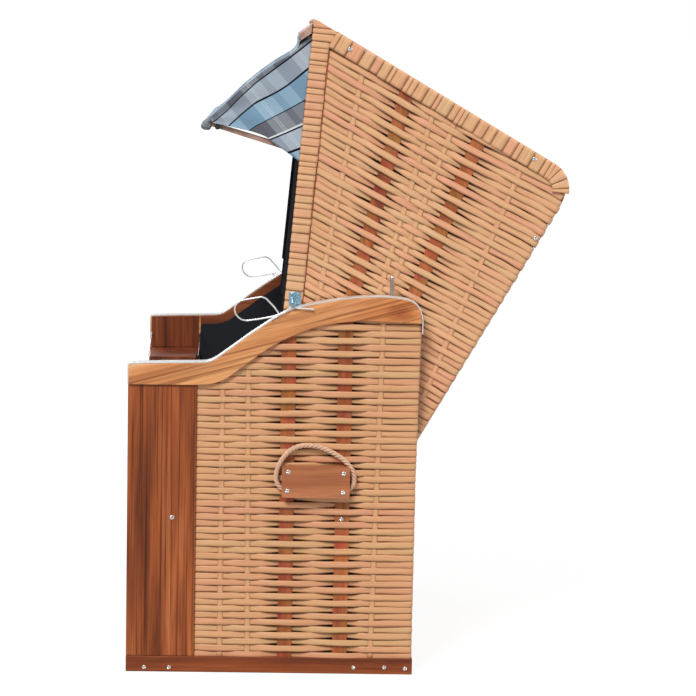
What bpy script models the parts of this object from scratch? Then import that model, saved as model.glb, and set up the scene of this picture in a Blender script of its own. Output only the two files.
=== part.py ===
"""Two-seat hooded beach chair: a woven base with wooden armrests and a woven
hood that reclines between the base's sides.

Metres, +Z up. The chair faces -Y, its width runs along X, and the sitter's
left side is at +X. The origin is the middle of the bounding box on the floor.
Lengths along the chair's depth are written from the base's front edge
(depth 0) and are moved by FRONT to the part's own Y.

The model is shown with the hood reclined by RECLINE. Every hood piece is drawn
in the hood's own upright frame, whose origin is the hood's pivot.
"""

import bpy
import bmesh
from math import sin, cos, pi, radians, hypot, atan2
from mathutils import Vector

# ------------------------------------------------------------------ dimensions
FRONT = -0.5852            # Y of the base's front edge
RECLINE = 30.0             # degrees the hood leans back in this pose

# base
SIDE_OUT = 0.586           # outer face of the woven sides
SIDE_IN = 0.572
POST_IN = 0.554
LINING_OUT = 0.5535
LINING_IN = 0.546          # inner face of the base's sides
RAIL_H = 0.043             # bottom rail height
RAIL_OUT = 0.590
BASE_D = 0.777             # depth of the bottom rails
STILE_D0, STILE_D1 = 0.0, 0.184
STILE_TOP = 0.7845
REAR_TOP = 0.515           # top of the base's rear panel
GAP = 0.0003

# armrests
ARM_IN, ARM_OUT = 0.545, 0.592
STRIP_T = 0.0022

# seat
SEAT_RAIL_TOP = 0.440
SEAT_BOARD_Z0, SEAT_BOARD_Z1 = 0.4053, 0.4203
SEAT_CUSHION_TOP = 0.498

# hood, in its upright frame from the pivot
PIVOT_D, PIVOT_Z = 0.540, 0.700
HOOD_OUT = 0.536
HOOD_SKIN = 0.524
HOOD_IN = 0.516
ROOF_Z = 0.8928            # roof's top
BACK_Y = 0.2466            # back's outer face
PANEL_T = 0.020
CORNER_R = 0.080
EDGE_TOP_Y = -0.5800       # front edge at the roof
EDGE_SLOPE = 0.4656        # how far the front edge runs back per metre down
HOOD_BOTTOM = -0.100

# awning, at rest, relative to its pivot with the part's own axes
ARM_PIVOT_D, ARM_PIVOT_Z = 0.490, 1.3994
ROD_D, ROD_Z, ROD_R = 0.2100, 1.4810, 0.008

# release levers
BOLT_D, BOLT_Z = 0.4377, 1.0093
LEVER_X = 0.5975
WIRE_R = 0.0022

# side tables
TABLE_HINGE_X, TABLE_HINGE_Z = 0.5425, 0.7285
TABLE_D0, TABLE_D1 = 0.009, 0.151
TABLE_LEN = 0.225
TABLE_T = 0.019
STAY_Z = 0.7925

# footrests
FOOT_X0, FOOT_X1 = 0.006, 0.508
FOOT_D0, FOOT_D1 = 0.006, 0.500
FOOT_TOP = 0.270

# ------------------------------------------------------------------- the scene
for old in list(bpy.data.objects):
    bpy.data.objects.remove(old, do_unlink=True)

chair = bpy.data.collections.new("hooded_beach_chair")
bpy.context.scene.collection.children.link(chair)
cutters = bpy.data.collections.new("cutters")
bpy.context.scene.collection.children.link(cutters)


def material(name, colour, roughness, metallic=0.0):
    mat = bpy.data.materials.new(name)
    mat.use_nodes = True
    shader = mat.node_tree.nodes["Principled BSDF"]
    shader.inputs["Base Color"].default_value = (*colour, 1.0)
    shader.inputs["Roughness"].default_value = roughness
    shader.inputs["Metallic"].default_value = metallic
    mat.diffuse_color = (*colour, 1.0)
    return mat


WICKER = material("woven_cane", (0.74, 0.46, 0.24), 0.55)
ARMREST_WOOD = material("oiled_wood_light", (0.55, 0.27, 0.12), 0.45)
FRAME_WOOD = material("oiled_wood_dark", (0.33, 0.13, 0.06), 0.5)
PLATE_WOOD = material("oiled_wood_plate", (0.45, 0.17, 0.07), 0.5)
BLACK_CLOTH = material("black_lining", (0.012, 0.013, 0.018), 0.85)
STEEL = material("stainless_steel", (0.75, 0.75, 0.76), 0.2, 1.0)
ROPE = material("twisted_rope", (0.38, 0.26, 0.16), 0.85)
PLAID = material("blue_grey_check", (0.36, 0.43, 0.50), 0.9)
BOARD = material("plywood", (0.42, 0.29, 0.18), 0.7)


# ------------------------------------------------------------------- helpers
def empty(name, location, rotation_x=0.0, parent=None):
    node = bpy.data.objects.new(name, None)
    node.empty_display_size = 0.05
    node.location = location
    node.rotation_euler = (rotation_x, 0.0, 0.0)
    node.parent = parent
    chair.objects.link(node)
    return node


def finish(obj, name, mat, parent=None, smooth=False):
    obj.name = name
    obj.data.name = name
    obj.data.materials.clear()
    obj.data.materials.append(mat)
    for coll in list(obj.users_collection):
        coll.objects.unlink(obj)
    chair.objects.link(obj)
    obj.parent = parent
    if smooth:
        obj.data.shade_smooth()
        obj.data.set_sharp_from_angle(angle=radians(40))
    return obj


def as_cutter(obj):
    obj.hide_render = True
    obj.display_type = 'WIRE'
    for coll in list(obj.users_collection):
        coll.objects.unlink(obj)
    cutters.objects.link(obj)
    return obj


def raw_box(x0, x1, y0, y1, z0, z1):
    """A cube primitive brought to the box's size, its origin at the middle."""
    mesh = bpy.data.meshes.new("box")
    bm = bmesh.new()
    bmesh.ops.create_cube(bm, size=1.0)
    for v in bm.verts:
        v.co.x *= x1 - x0
        v.co.y *= y1 - y0
        v.co.z *= z1 - z0
    bm.to_mesh(mesh)
    bm.free()
    obj = bpy.data.objects.new("box", mesh)
    obj.location = ((x0 + x1) / 2, (y0 + y1) / 2, (z0 + z1) / 2)
    bpy.context.scene.collection.objects.link(obj)
    return obj


def soften(obj, width, segments=1):
    bevel = obj.modifiers.new("edge", 'BEVEL')
    bevel.width = width
    bevel.segments = segments
    bevel.limit_method = 'ANGLE'
    bevel.angle_limit = radians(40)


def base_box(name, x0, x1, d0, d1, z0, z1, mat, edge=0.0, parent=None):
    obj = raw_box(x0, x1, FRONT + d0, FRONT + d1, z0, z1)
    if parent is not None:
        obj.location = obj.location - Vector(parent.location)
    if edge:
        soften(obj, edge)
    return finish(obj, name, mat, parent)


def weld_curve(curve_obj, x_axis=True):
    """Turns a curve into a closed mesh object with the same placing."""
    depsgraph = bpy.context.evaluated_depsgraph_get()
    depsgraph.update()
    mesh = bpy.data.meshes.new_from_object(curve_obj.evaluated_get(depsgraph))
    bm = bmesh.new()
    bm.from_mesh(mesh)
    bmesh.ops.remove_doubles(bm, verts=bm.verts, dist=1e-6)
    bmesh.ops.recalc_face_normals(bm, faces=bm.faces)
    bm.to_mesh(mesh)
    bm.free()
    obj = bpy.data.objects.new("mesh", mesh)
    obj.matrix_world = curve_obj.matrix_world.copy()
    bpy.context.scene.collection.objects.link(obj)
    old = curve_obj.data
    bpy.data.objects.remove(curve_obj, do_unlink=True)
    bpy.data.curves.remove(old)
    return obj


def side_outline(points, x0, x1, holes=()):
    """A flat outline in the depth-height plane, extruded across X from x0 to
    x1. points are (y, z) pairs."""
    curve = bpy.data.curves.new("outline", 'CURVE')
    curve.dimensions = '2D'
    curve.fill_mode = 'BOTH'
    curve.extrude = (x1 - x0) / 2
    for loop in (points,) + tuple(holes):
        spline = curve.splines.new('POLY')
        spline.points.add(len(loop) - 1)
        for point, (y, z) in zip(spline.points, loop):
            point.co = (y, z, 0.0, 1.0)
        spline.use_cyclic_u = True
    obj = bpy.data.objects.new("outline", curve)
    # the curve's x runs along Y, its y up Z and its z along X
    obj.rotation_euler = (pi / 2, 0.0, pi / 2)
    bpy.context.scene.collection.objects.link(obj)
    bpy.context.view_layer.update()
    mesh_obj = weld_curve(obj)
    mesh_obj.data.transform(mesh_obj.matrix_world)
    mesh_obj.matrix_world.identity()
    mesh_obj.location = ((x0 + x1) / 2, 0.0, 0.0)
    return mesh_obj


def tube(points, radius, cyclic=False, sides=2):
    curve = bpy.data.curves.new("tube", 'CURVE')
    curve.dimensions = '3D'
    curve.bevel_depth = radius
    curve.bevel_resolution = sides
    curve.use_fill_caps = not cyclic
    curve.resolution_u = 1
    spline = curve.splines.new('POLY')
    spline.points.add(len(points) - 1)
    for point, co in zip(spline.points, points):
        point.co = (*co, 1.0)
    spline.use_cyclic_u = cyclic
    obj = bpy.data.objects.new("tube", curve)
    bpy.context.scene.collection.objects.link(obj)
    bpy.context.view_layer.update()
    return weld_curve(obj)


def rod(p0, p1, radius, segments=20):
    """A cylinder primitive from p0 to p1."""
    a, b = Vector(p0), Vector(p1)
    mesh = bpy.data.meshes.new("rod")
    bm = bmesh.new()
    bmesh.ops.create_cone(bm, cap_ends=True, segments=segments,
                          radius1=radius, radius2=radius, depth=(b - a).length)
    bm.to_mesh(mesh)
    bm.free()
    obj = bpy.data.objects.new("rod", mesh)
    obj.rotation_mode = 'QUATERNION'
    obj.rotation_quaternion = (b - a).to_track_quat('Z', 'Y')
    obj.location = (a + b) / 2
    bpy.context.scene.collection.objects.link(obj)
    bpy.context.view_layer.update()
    obj.data.transform(obj.matrix_world.to_3x3().to_4x4())
    obj.rotation_quaternion = (1.0, 0.0, 0.0, 0.0)
    obj.rotation_mode = 'XYZ'
    bpy.context.view_layer.update()
    return obj


def boolean(obj, other, operation):
    mod = obj.modifiers.new(operation.lower(), 'BOOLEAN')
    mod.operation = operation
    mod.solver = 'EXACT'
    mod.object = as_cutter(other)
    return obj


def applied(obj):
    """The object with its modifiers applied to its mesh."""
    bpy.context.view_layer.update()
    depsgraph = bpy.context.evaluated_depsgraph_get()
    mesh = bpy.data.meshes.new_from_object(obj.evaluated_get(depsgraph))
    used = [m.object for m in obj.modifiers if getattr(m, "object", None)]
    obj.modifiers.clear()
    obj.data = mesh
    for cutter in used:
        bpy.data.objects.remove(cutter, do_unlink=True)
    return obj


def smooth_curve(points, spacing):
    """Points about spacing apart on a Catmull-Rom curve through points."""
    pts = [Vector(p) for p in points]
    ends = [pts[0] * 2 - pts[1]] + pts + [pts[-1] * 2 - pts[-2]]
    fine = []
    for i in range(1, len(ends) - 2):
        a, b, c, d = ends[i - 1:i + 3]
        for k in range(24):
            t = k / 24.0
            fine.append(0.5 * ((2 * b) + (c - a) * t + (2 * a - 5 * b + 4 * c - d) * t * t
                               + (3 * b - a - 3 * c + d) * t ** 3))
    fine.append(pts[-1])
    total = sum((q - p).length for p, q in zip(fine, fine[1:]))
    count = max(2, round(total / spacing))
    out, want, walked = [fine[0]], total / count, 0.0
    for p, q in zip(fine, fine[1:]):
        step = (q - p).length
        while walked + step >= want and len(out) < count:
            out.append(p.lerp(q, (want - walked) / step))
            want += total / count
        walked += step
    out.append(fine[-1])
    return out


def arc(cy, cz, radius, start, end, steps):
    """Points of an arc in the depth-height plane, angles in degrees."""
    return [(cy + radius * cos(radians(start + (end - start) * i / steps)),
             cz + radius * sin(radians(start + (end - start) * i / steps)))
            for i in range(steps + 1)]


def shifted(points, dy=FRONT, dz=0.0):
    return [(y + dy, z + dz) for y, z in points]


def upright(d, z):
    """Depth and height of this pose as the hood's own upright coordinates."""
    a = radians(RECLINE)
    dy, dz = d - PIVOT_D, z - PIVOT_Z
    return dy * cos(a) - dz * sin(a), dy * sin(a) + dz * cos(a)


def edge_y(z):
    """The hood's front edge, at height z of its upright frame."""
    return EDGE_TOP_Y + (ROOF_Z - z) * EDGE_SLOPE


# --------------------------------------------------------- armrest's own curve
# The armrest's top: a level front part, an S up to a long arc about the hood's
# pivot region, and a rounded rear corner. Depth and height from the front edge.
ARM_TOP = [(0.0000, 0.8437), (0.0600, 0.8462), (0.1300, 0.8482), (0.1950, 0.8498),
           (0.2180, 0.8530), (0.2360, 0.8625), (0.2600, 0.8800), (0.2900, 0.9020),
           (0.3200, 0.9245), (0.3500, 0.9453), (0.3800, 0.9655), (0.4080, 0.9830),
           (0.4330, 0.9950), (0.4560, 1.0025), (0.4950, 1.0115), (0.5357, 1.0195),
           (0.5808, 1.0270), (0.6259, 1.0315), (0.6600, 1.0330), (0.6943, 1.0328),
           (0.7218, 1.0300), (0.7496, 1.0245), (0.7650, 1.0165), (0.7755, 1.0060),
           (0.7820, 0.9930), (0.7850, 0.9790), (0.7857, 0.9606)]
ARM_LOW = [(0.0000, 0.7851), (0.1772, 0.7858), (0.2200, 0.7895), (0.2490, 0.7980),
           (0.2644, 0.8058), (0.2855, 0.8213), (0.3158, 0.8440), (0.3553, 0.8745),
           (0.3850, 0.8940), (0.4125, 0.9095), (0.4585, 0.9312), (0.5040, 0.9475),
           (0.5369, 0.9550), (0.5821, 0.9616), (0.6273, 0.9650), (0.6699, 0.9645),
           (0.7206, 0.9625), (0.7857, 0.9603)]


def offset_line(points, distance):
    """The line moved to its left by distance."""
    out = []
    for i, (y, z) in enumerate(points):
        y0, z0 = points[max(i - 1, 0)]
        y1, z1 = points[min(i + 1, len(points) - 1)]
        length = hypot(y1 - y0, z1 - z0)
        out.append((y - (z1 - z0) / length * distance, z + (y1 - y0) / length * distance))
    return out


def height_on(line, y):
    for (y0, z0), (y1, z1) in zip(line, line[1:]):
        if y0 <= y <= y1 and y1 > y0:
            return z0 + (z1 - z0) * (y - y0) / (y1 - y0)
    return line[-1][1]


def under_armrest(d0, d1, steps):
    """The armrest's underside between two depths, a gap below it."""
    inner = [p for p in ARM_LOW if d0 + 0.004 < p[0] < d1 - 0.004]
    pts = [(d0, height_on(ARM_LOW, d0))] + inner + [(d1, height_on(ARM_LOW, d1))]
    return [(y, z - GAP - 0.0002) for y, z in pts]


# ----------------------------------------------------------------------- base
def mirrored(side):
    return "left" if side > 0 else "right"


def xr(side, a, b):
    """An X range on that side, low value first."""
    return (a, b) if side > 0 else (-b, -a)


def build_base_side(side):
    tag = mirrored(side)
    x0, x1 = xr(side, LINING_IN, RAIL_OUT)
    base_box("bottom_rail_" + tag, x0, x1, 0.0, BASE_D, 0.0, RAIL_H, FRAME_WOOD, 0.0015)
    x0, x1 = xr(side, LINING_IN, SIDE_OUT)
    base_box("front_stile_" + tag, x0, x1, STILE_D0, STILE_D1, RAIL_H + GAP, STILE_TOP,
             FRAME_WOOD, 0.0012)

    # middle post, bored for the pivot bolt
    x0, x1 = xr(side, POST_IN, SIDE_IN - GAP)
    post = raw_box(x0, x1, FRONT + 0.500, FRONT + 0.580, RAIL_H + GAP,
                   height_on(ARM_LOW, 0.500) - 0.001)
    boolean(post, rod((0.50 * side, FRONT + PIVOT_D, PIVOT_Z),
                      (0.60 * side, FRONT + PIVOT_D, PIVOT_Z), 0.0064, 24), 'DIFFERENCE')
    finish(post, "mid_post_" + tag, FRAME_WOOD)
    rear = raw_box(x0, x1, FRONT + 0.728, FRONT + 0.7675, RAIL_H + GAP, 0.9595)
    finish(rear, "rear_post_" + tag, FRAME_WOOD)

    # woven side: one flat panel that turns round the rear corner
    top = under_armrest(0.1843, 0.7835, 12)
    outline = [(0.1843, RAIL_H + GAP)] + top + [(0.7770, RAIL_H + GAP)]
    x0, x1 = xr(side, SIDE_IN, SIDE_OUT)
    panel = side_outline(shifted(outline), x0, x1)
    x0, x1 = xr(side, LINING_IN, SIDE_IN + 0.002)
    turn = raw_box(x0, x1, FRONT + 0.7680, FRONT + 0.7785, REAR_TOP + 0.0006, 0.9580)
    panel = applied(boolean(panel, turn, 'UNION'))
    finish(panel, "wicker_side_" + tag, WICKER)

    # inner lining board, bored for the pivot bolt
    lining_top = under_armrest(0.1843, 0.7676, 12)
    outline = [(0.1843, RAIL_H + GAP)] + lining_top + [(0.7676, RAIL_H + GAP)]
    x0, x1 = xr(side, LINING_IN, LINING_OUT)
    lining = side_outline(shifted(outline), x0, x1)
    boolean(lining, rod((0.50 * side, FRONT + PIVOT_D, PIVOT_Z),
                        (0.60 * side, FRONT + PIVOT_D, PIVOT_Z), 0.0064, 24), 'DIFFERENCE')
    finish(lining, "side_lining_" + tag, BLACK_CLOTH)

    # armrest board under its metal strip
    wood_top = offset_line(ARM_TOP, -(STRIP_T + GAP))
    wood_top[0] = (0.0, ARM_TOP[0][1] - STRIP_T - GAP)
    wood_top[-1] = (ARM_TOP[-1][0] - STRIP_T - GAP, ARM_TOP[-1][1])
    low = [p for p in ARM_LOW if p[0] < 0.76] + [(wood_top[-1][0], ARM_LOW[-1][1])]
    x0, x1 = xr(side, ARM_IN, ARM_OUT)
    arm = side_outline(shifted(low + wood_top[::-1][1:]), x0, x1)
    boolean(arm, rod((0.569 * side, FRONT + 0.7015, 0.990), (0.569 * side, FRONT + 0.7015, 1.10),
                     0.0053, 16), 'DIFFERENCE')
    finish(arm, "armrest_" + tag, ARMREST_WOOD)

    # polished strip along the armrest's top, round its rear corner and down
    under = offset_line(ARM_TOP, -STRIP_T)
    under[0] = (0.0, ARM_TOP[0][1] - STRIP_T)
    outer = list(ARM_TOP[:-1]) + [(0.7862, 0.9610), (0.7866, 0.9320)]
    inner = under[:-1] + [(0.7862 - STRIP_T, 0.9610), (0.7866 - STRIP_T, 0.9320)]
    x0, x1 = xr(side, 0.5465, 0.5905)
    strip = side_outline(shifted(outer + inner[::-1]), x0, x1)
    boolean(strip, rod((0.569 * side, FRONT + 0.7015, 0.990), (0.569 * side, FRONT + 0.7015, 1.10),
                       0.0053, 16), 'DIFFERENCE')
    finish(strip, "slide_rail_" + tag, STEEL)

    # pin with a ball head near the armrest's rear end, turned in one profile
    profile = [(0.0049, 1.0020), (0.0049, 1.0745)]
    profile += [(0.0064 * cos(radians(a)), 1.0804 + 0.0064 * sin(radians(a)))
                for a in (-40, -15, 15, 40, 65)]
    finish(turned(profile, 1.0020, 1.0868, (0.569 * side, FRONT + 0.7015)), "stop_pin_" + tag,
           STEEL, smooth=True)

    # hood's pivot bolt: round head inside, shank through to the middle post
    shank = rod((0.512 * side, FRONT + PIVOT_D, PIVOT_Z),
                (0.5710 * side, FRONT + PIVOT_D, PIVOT_Z), 0.0058, 24)
    head = rod((0.5075 * side, FRONT + PIVOT_D, PIVOT_Z),
               (0.5150 * side, FRONT + PIVOT_D, PIVOT_Z), 0.013, 24)
    boolean(shank, head, 'UNION')
    finish(applied(shank), "pivot_bolt_" + tag, STEEL, smooth=True)

    # seat rail
    x0, x1 = xr(side, 0.518, LINING_IN - GAP)
    base_box("seat_rail_" + tag, x0, x1, 0.035, 0.595, 0.385, SEAT_RAIL_TOP, FRAME_WOOD, 0.001)

    # carrying handle: a plate, rebated behind its ends, and a rope whose ends
    # run down behind them against the plate's thick middle
    x0, x1 = xr(side, SIDE_OUT + 0.0004, 0.6108)
    corner = 0.007
    d0, d1, z0, z1 = 0.4150, 0.5980, 0.4878, 0.5738
    plate = side_outline(shifted(
        arc(d0 + corner, z0 + corner, corner, 180, 270, 3) + arc(d1 - corner, z0 + corner, corner, 270, 360, 3)
        + arc(d1 - corner, z1 - corner, corner, 0, 90, 3) + arc(d0 + corner, z1 - corner, corner, 90, 180, 3)), x0, x1)
    x0, x1 = xr(side, SIDE_OUT - 0.010, 0.6018)
    for e0, e1 in ((d0 - 0.02, PLATE_MID0), (PLATE_MID1, d1 + 0.02)):
        rebate = raw_box(x0, x1, FRONT + e0, FRONT + e1, z0 - 0.02, z1 + 0.02)
        plate = applied(boolean(plate, rebate, 'DIFFERENCE'))
    finish(plate, "handle_plate_" + tag, PLATE_WOOD)
    rope = tube([(p[0] * side, p[1] + FRONT, p[2]) for p in rope_route()], ROPE_R)
    finish(rope, "rope_handle_" + tag, ROPE, smooth=True)


ROPE_R = 0.0071
ROPE_X = 0.5939
PLATE_MID0, PLATE_MID1 = 0.4300, 0.5830


def rope_route():
    """The handle rope's line on the +X side, depth from the front edge."""
    line = [(PLATE_MID0 - 0.0014, 0.5090), (0.4180, 0.5090), (0.4060, 0.5200), (0.4000, 0.5385),
            (0.4035, 0.5640), (0.4165, 0.5910), (0.4376, 0.6140), (0.4620, 0.6255),
            (0.4866, 0.6280), (0.5113, 0.6250), (0.5402, 0.6144), (0.5692, 0.5982),
            (0.5890, 0.5815), (0.6045, 0.5610), (0.6095, 0.5385), (0.6065, 0.5200),
            (0.5950, 0.5090), (PLATE_MID1 + 0.0014, 0.5090)]
    return smooth_curve([(ROPE_X, d, z) for d, z in line], 0.013)


def turned(profile, z_low, z_high, at):
    """A solid of revolution about the vertical through at. profile runs from
    the bottom to the top as (radius, height) pairs."""
    mesh = bpy.data.meshes.new("turned")
    pts = [(0.0, z_high)] + [(r, z) for r, z in reversed(profile)] + [(0.0, z_low)]
    bm = bmesh.new()
    verts = [bm.verts.new((r, 0.0, z)) for r, z in pts]
    for a, b in zip(verts, verts[1:]):
        bm.edges.new((a, b))
    bm.to_mesh(mesh)
    bm.free()
    obj = bpy.data.objects.new("turned", mesh)
    obj.location = (at[0], at[1], 0.0)
    bpy.context.scene.collection.objects.link(obj)
    screw = obj.modifiers.new("turn", 'SCREW')
    screw.steps = screw.render_steps = 16
    screw.use_merge_vertices = True
    screw.merge_threshold = 1e-5
    screw.use_normal_calculate = True
    return applied(obj)


def build_base():
    for side in (1, -1):
        build_base_side(side)
    w = LINING_IN - GAP
    base_box("bottom_rail_rear", -w, w, 0.745, BASE_D, 0.0, RAIL_H, FRAME_WOOD, 0.0015)
    base_box("base_rear_rail", -w, w, 0.740, 0.7675, REAR_TOP - 0.045, REAR_TOP, FRAME_WOOD, 0.001)
    wide = SIDE_IN - GAP
    base_box("base_rear_wicker", -wide, wide, 0.7680, 0.7765, RAIL_H + GAP, REAR_TOP, WICKER)
    base_box("seat_beam_front", -0.5177, 0.5177, 0.035, 0.060, 0.345, 0.405, FRAME_WOOD, 0.001)
    base_box("seat_beam_rear", -0.5177, 0.5177, 0.560, 0.585, 0.345, 0.405, FRAME_WOOD, 0.001)
    base_box("seat_board", -0.5175, 0.5175, 0.036, 0.592, SEAT_BOARD_Z0, SEAT_BOARD_Z1, BOARD)
    cushion = base_box("seat_cushion", -0.507, 0.507, 0.026, 0.600, SEAT_BOARD_Z1 + GAP,
                       SEAT_CUSHION_TOP, PLAID)
    soften(cushion, 0.018, 2)


# ----------------------------------------------------------------------- hood
def build_hood():
    pivot = empty("hood_pivot", (0.0, FRONT + PIVOT_D, PIVOT_Z), -radians(RECLINE))
    inner_r = CORNER_R - PANEL_T
    cy, cz = BACK_Y - CORNER_R, ROOF_Z - CORNER_R

    for side in (1, -1):
        tag = mirrored(side)
        bore = (0.0064,)
        outline = ([(edge_y(HOOD_BOTTOM), HOOD_BOTTOM), (BACK_Y, HOOD_BOTTOM)]
                   + arc(cy, cz, CORNER_R, 0, 90, 8) + [(EDGE_TOP_Y, ROOF_Z)])
        x0, x1 = xr(side, HOOD_SKIN, HOOD_OUT)
        panel = side_outline(outline, x0, x1)
        boolean(panel, rod((0.50 * side, 0, 0), (0.60 * side, 0, 0), bore[0], 24), 'DIFFERENCE')
        applied(panel)
        finish(panel, "hood_side_" + tag, WICKER, pivot)

        # lining board: stands 10 mm proud of the front edge below the header
        t = PANEL_T + GAP
        lead = 0.010
        outline = ([(edge_y(HOOD_BOTTOM) - lead, HOOD_BOTTOM), (BACK_Y - t, HOOD_BOTTOM)]
                   + arc(cy, cz, CORNER_R - t, 0, 90, 6)
                   + [(edge_y(ROOF_Z - t) + 0.004, ROOF_Z - t), (edge_y(0.800) + 0.001, 0.800),
                      (edge_y(0.780) - lead, 0.780)])
        x0, x1 = xr(side, HOOD_IN, HOOD_SKIN - GAP)
        lining = side_outline(outline, x0, x1)
        boolean(lining, rod((0.50 * side, 0, 0), (0.60 * side, 0, 0), bore[0], 24), 'DIFFERENCE')
        py, pz = upright(ARM_PIVOT_D, ARM_PIVOT_Z)
        boolean(lining, rod((0.50 * side, py, pz), (0.60 * side, py, pz), 0.0044, 16), 'DIFFERENCE')
        applied(lining)
        finish(lining, "hood_lining_" + tag, BLACK_CLOTH, pivot)

    wide = HOOD_SKIN - GAP
    roof = side_outline([(EDGE_TOP_Y, ROOF_Z), (EDGE_TOP_Y + PANEL_T * EDGE_SLOPE, ROOF_Z - PANEL_T)]
                        + arc(cy, cz, inner_r, 90, 0, 6) + arc(cy, cz, CORNER_R, 0, 90, 8),
                        -wide, wide)
    finish(roof, "hood_roof", WICKER, pivot)
    back = raw_box(-wide, wide, BACK_Y - PANEL_T, BACK_Y, HOOD_BOTTOM, cz - GAP)
    finish(back, "hood_back", WICKER, pivot)

    # header beam in front of the roof's front edge
    corners = [(0.4456, 1.7050), (0.4462, 1.7265), (0.4772, 1.7495), (0.4745, 1.7250)]
    header = side_outline([upright(d, z) for d, z in corners][::-1], -HOOD_OUT, HOOD_OUT)
    finish(header, "header_beam", FRAME_WOOD, pivot)

    # fittings on the hood's sides, with the bolt that crosses over the armrest
    for side in (1, -1):
        tag = mirrored(side)
        x0, x1 = xr(side, HOOD_OUT + GAP, HOOD_OUT + 0.0027)
        rect = [(0.4272, 1.0015), (0.4585, 1.0015), (0.4585, 1.0347), (0.4272, 1.0347)]
        plate = side_outline([upright(d, z) for d, z in rect], x0, x1)
        by, bz = upright(BOLT_D, BOLT_Z)
        shank = rod(((HOOD_OUT + 0.001) * side, by, bz), (0.6025 * side, by, bz), 0.0040, 16)
        head = rod((0.6006 * side, by, bz), (0.6045 * side, by, bz), 0.0072, 16)
        applied(boolean(plate, shank, 'UNION'))
        applied(boolean(plate, head, 'UNION'))
        finish(plate, "hood_fitting_" + tag, STEEL, pivot)

    # backrest board and its upholstery
    low, high = Vector((0.075, -0.170)), Vector((0.185, 0.620))
    along = (high - low).normalized()
    out = Vector((-along.y, along.x))          # towards the sitter
    board_t = 0.015
    board = [low, low - out * board_t, high - out * board_t, high]
    obj = side_outline([tuple(p) for p in board], -0.5155, 0.5155)
    finish(obj, "backrest_panel", BOARD, pivot)

    def pad(name, x0, x1, s0, s1, front, thick, edge):
        a = low + along * s0 + out * front
        b = low + along * s1 + out * front
        shape = [a, b, b + out * thick, a + out * thick]
        obj = side_outline([tuple(p) for p in shape][::-1], x0, x1)
        soften(obj, edge, 2)
        finish(obj, name, PLAID, pivot)

    pad("back_cushion", -0.505, 0.505, 0.004, 0.745, GAP, 0.072, 0.016)
    for side in (1, -1):
        x0, x1 = xr(side, 0.085, 0.425)
        pad("neck_pillow_" + mirrored(side), x0, x1, 0.560, 0.730, 0.0727, 0.060, 0.018)
    return pivot


# --------------------------------------------------------------------- awning
AWNING_TOP = [(0.4425, 1.7240), (0.4422, 1.7050), (0.4350, 1.6880), (0.4136, 1.6705),
              (0.3750, 1.6430), (0.3288, 1.6080), (0.2900, 1.5705), (0.2535, 1.5315),
              (0.2250, 1.5070), (0.1985, 1.4925), (0.1938, 1.4810), (0.1990, 1.4690)]
# lower edge of a cheek, point for point below AWNING_TOP from its second one
AWNING_CHEEK = [(0.4440, 1.7020), (0.4735, 1.7215), (0.4665, 1.6200), (0.4560, 1.5000),
                (0.4470, 1.3835), (0.4000, 1.4190), (0.3600, 1.4485), (0.3000, 1.4665),
                (0.2150, 1.4815)]


def build_awning(hood_pivot):
    py, pz = upright(ARM_PIVOT_D, ARM_PIVOT_Z)
    pivot = empty("awning_pivot", (0.0, py, pz), radians(RECLINE), hood_pivot)

    def local(d, z):
        return d - ARM_PIVOT_D, z - ARM_PIVOT_Z

    length = hypot(ROD_D - ARM_PIVOT_D, ROD_Z - ARM_PIVOT_Z)
    angle = atan2(ROD_Z - ARM_PIVOT_Z, ROD_D - ARM_PIVOT_D)
    ry, rz = local(ROD_D, ROD_Z)
    across, half = 0.006, 0.0045
    for side in (1, -1):
        tag = mirrored(side)
        x0, x1 = xr(side, 0.5065, 0.5153)
        outline = (arc(0, 0, 0.009, 60, 300, 8)
                   + [(length - 0.006, -across), (length + 0.004, -across),
                      (length + 0.004, across), (length - 0.006, across)])
        pts = [(y * cos(angle) - z * sin(angle), y * sin(angle) + z * cos(angle)) for y, z in outline]
        arm = side_outline(pts, x0, x1)
        pin = rod((0.512 * side, 0, 0), (0.5232 * side, 0, 0), 0.0040, 16)
        applied(boolean(arm, pin, 'UNION'))
        finish(arm, "awning_arm_" + tag, FRAME_WOOD, pivot)
    bar = rod((-0.5062, ry, rz), (0.5062, ry, rz), ROD_R, 16)
    finish(bar, "awning_rod", FRAME_WOOD, pivot, smooth=True)

    # fabric: a top sheet from the header down over the rod, and two cheeks
    mesh = bpy.data.meshes.new("awning")
    bm = bmesh.new()
    x = 0.5263
    n = len(AWNING_TOP)
    top = {}
    for s in (1, -1):
        for i, (d, z) in enumerate(AWNING_TOP):
            top[s, i] = bm.verts.new((s * x, *upright(d, z)))
    for i in range(n - 1):
        bm.faces.new((top[1, i], top[-1, i], top[-1, i + 1], top[1, i + 1]))
    for s in (1, -1):
        low = [bm.verts.new((s * x, *upright(d, z))) for d, z in AWNING_CHEEK]
        for i in range(len(low) - 1):
            ring = (top[s, i + 1], top[s, i + 2], low[i + 1], low[i])
            bm.faces.new(ring if s > 0 else ring[::-1])
    bmesh.ops.recalc_face_normals(bm, faces=bm.faces)
    bm.to_mesh(mesh)
    bm.free()
    cloth = bpy.data.objects.new("awning", mesh)
    bpy.context.scene.collection.objects.link(cloth)
    skin = cloth.modifiers.new("thickness", 'SOLIDIFY')
    skin.thickness = 0.0018
    skin.offset = 0.0
    skin.use_even_offset = True
    finish(cloth, "awning_fabric", PLAID, hood_pivot)
    return pivot


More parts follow.
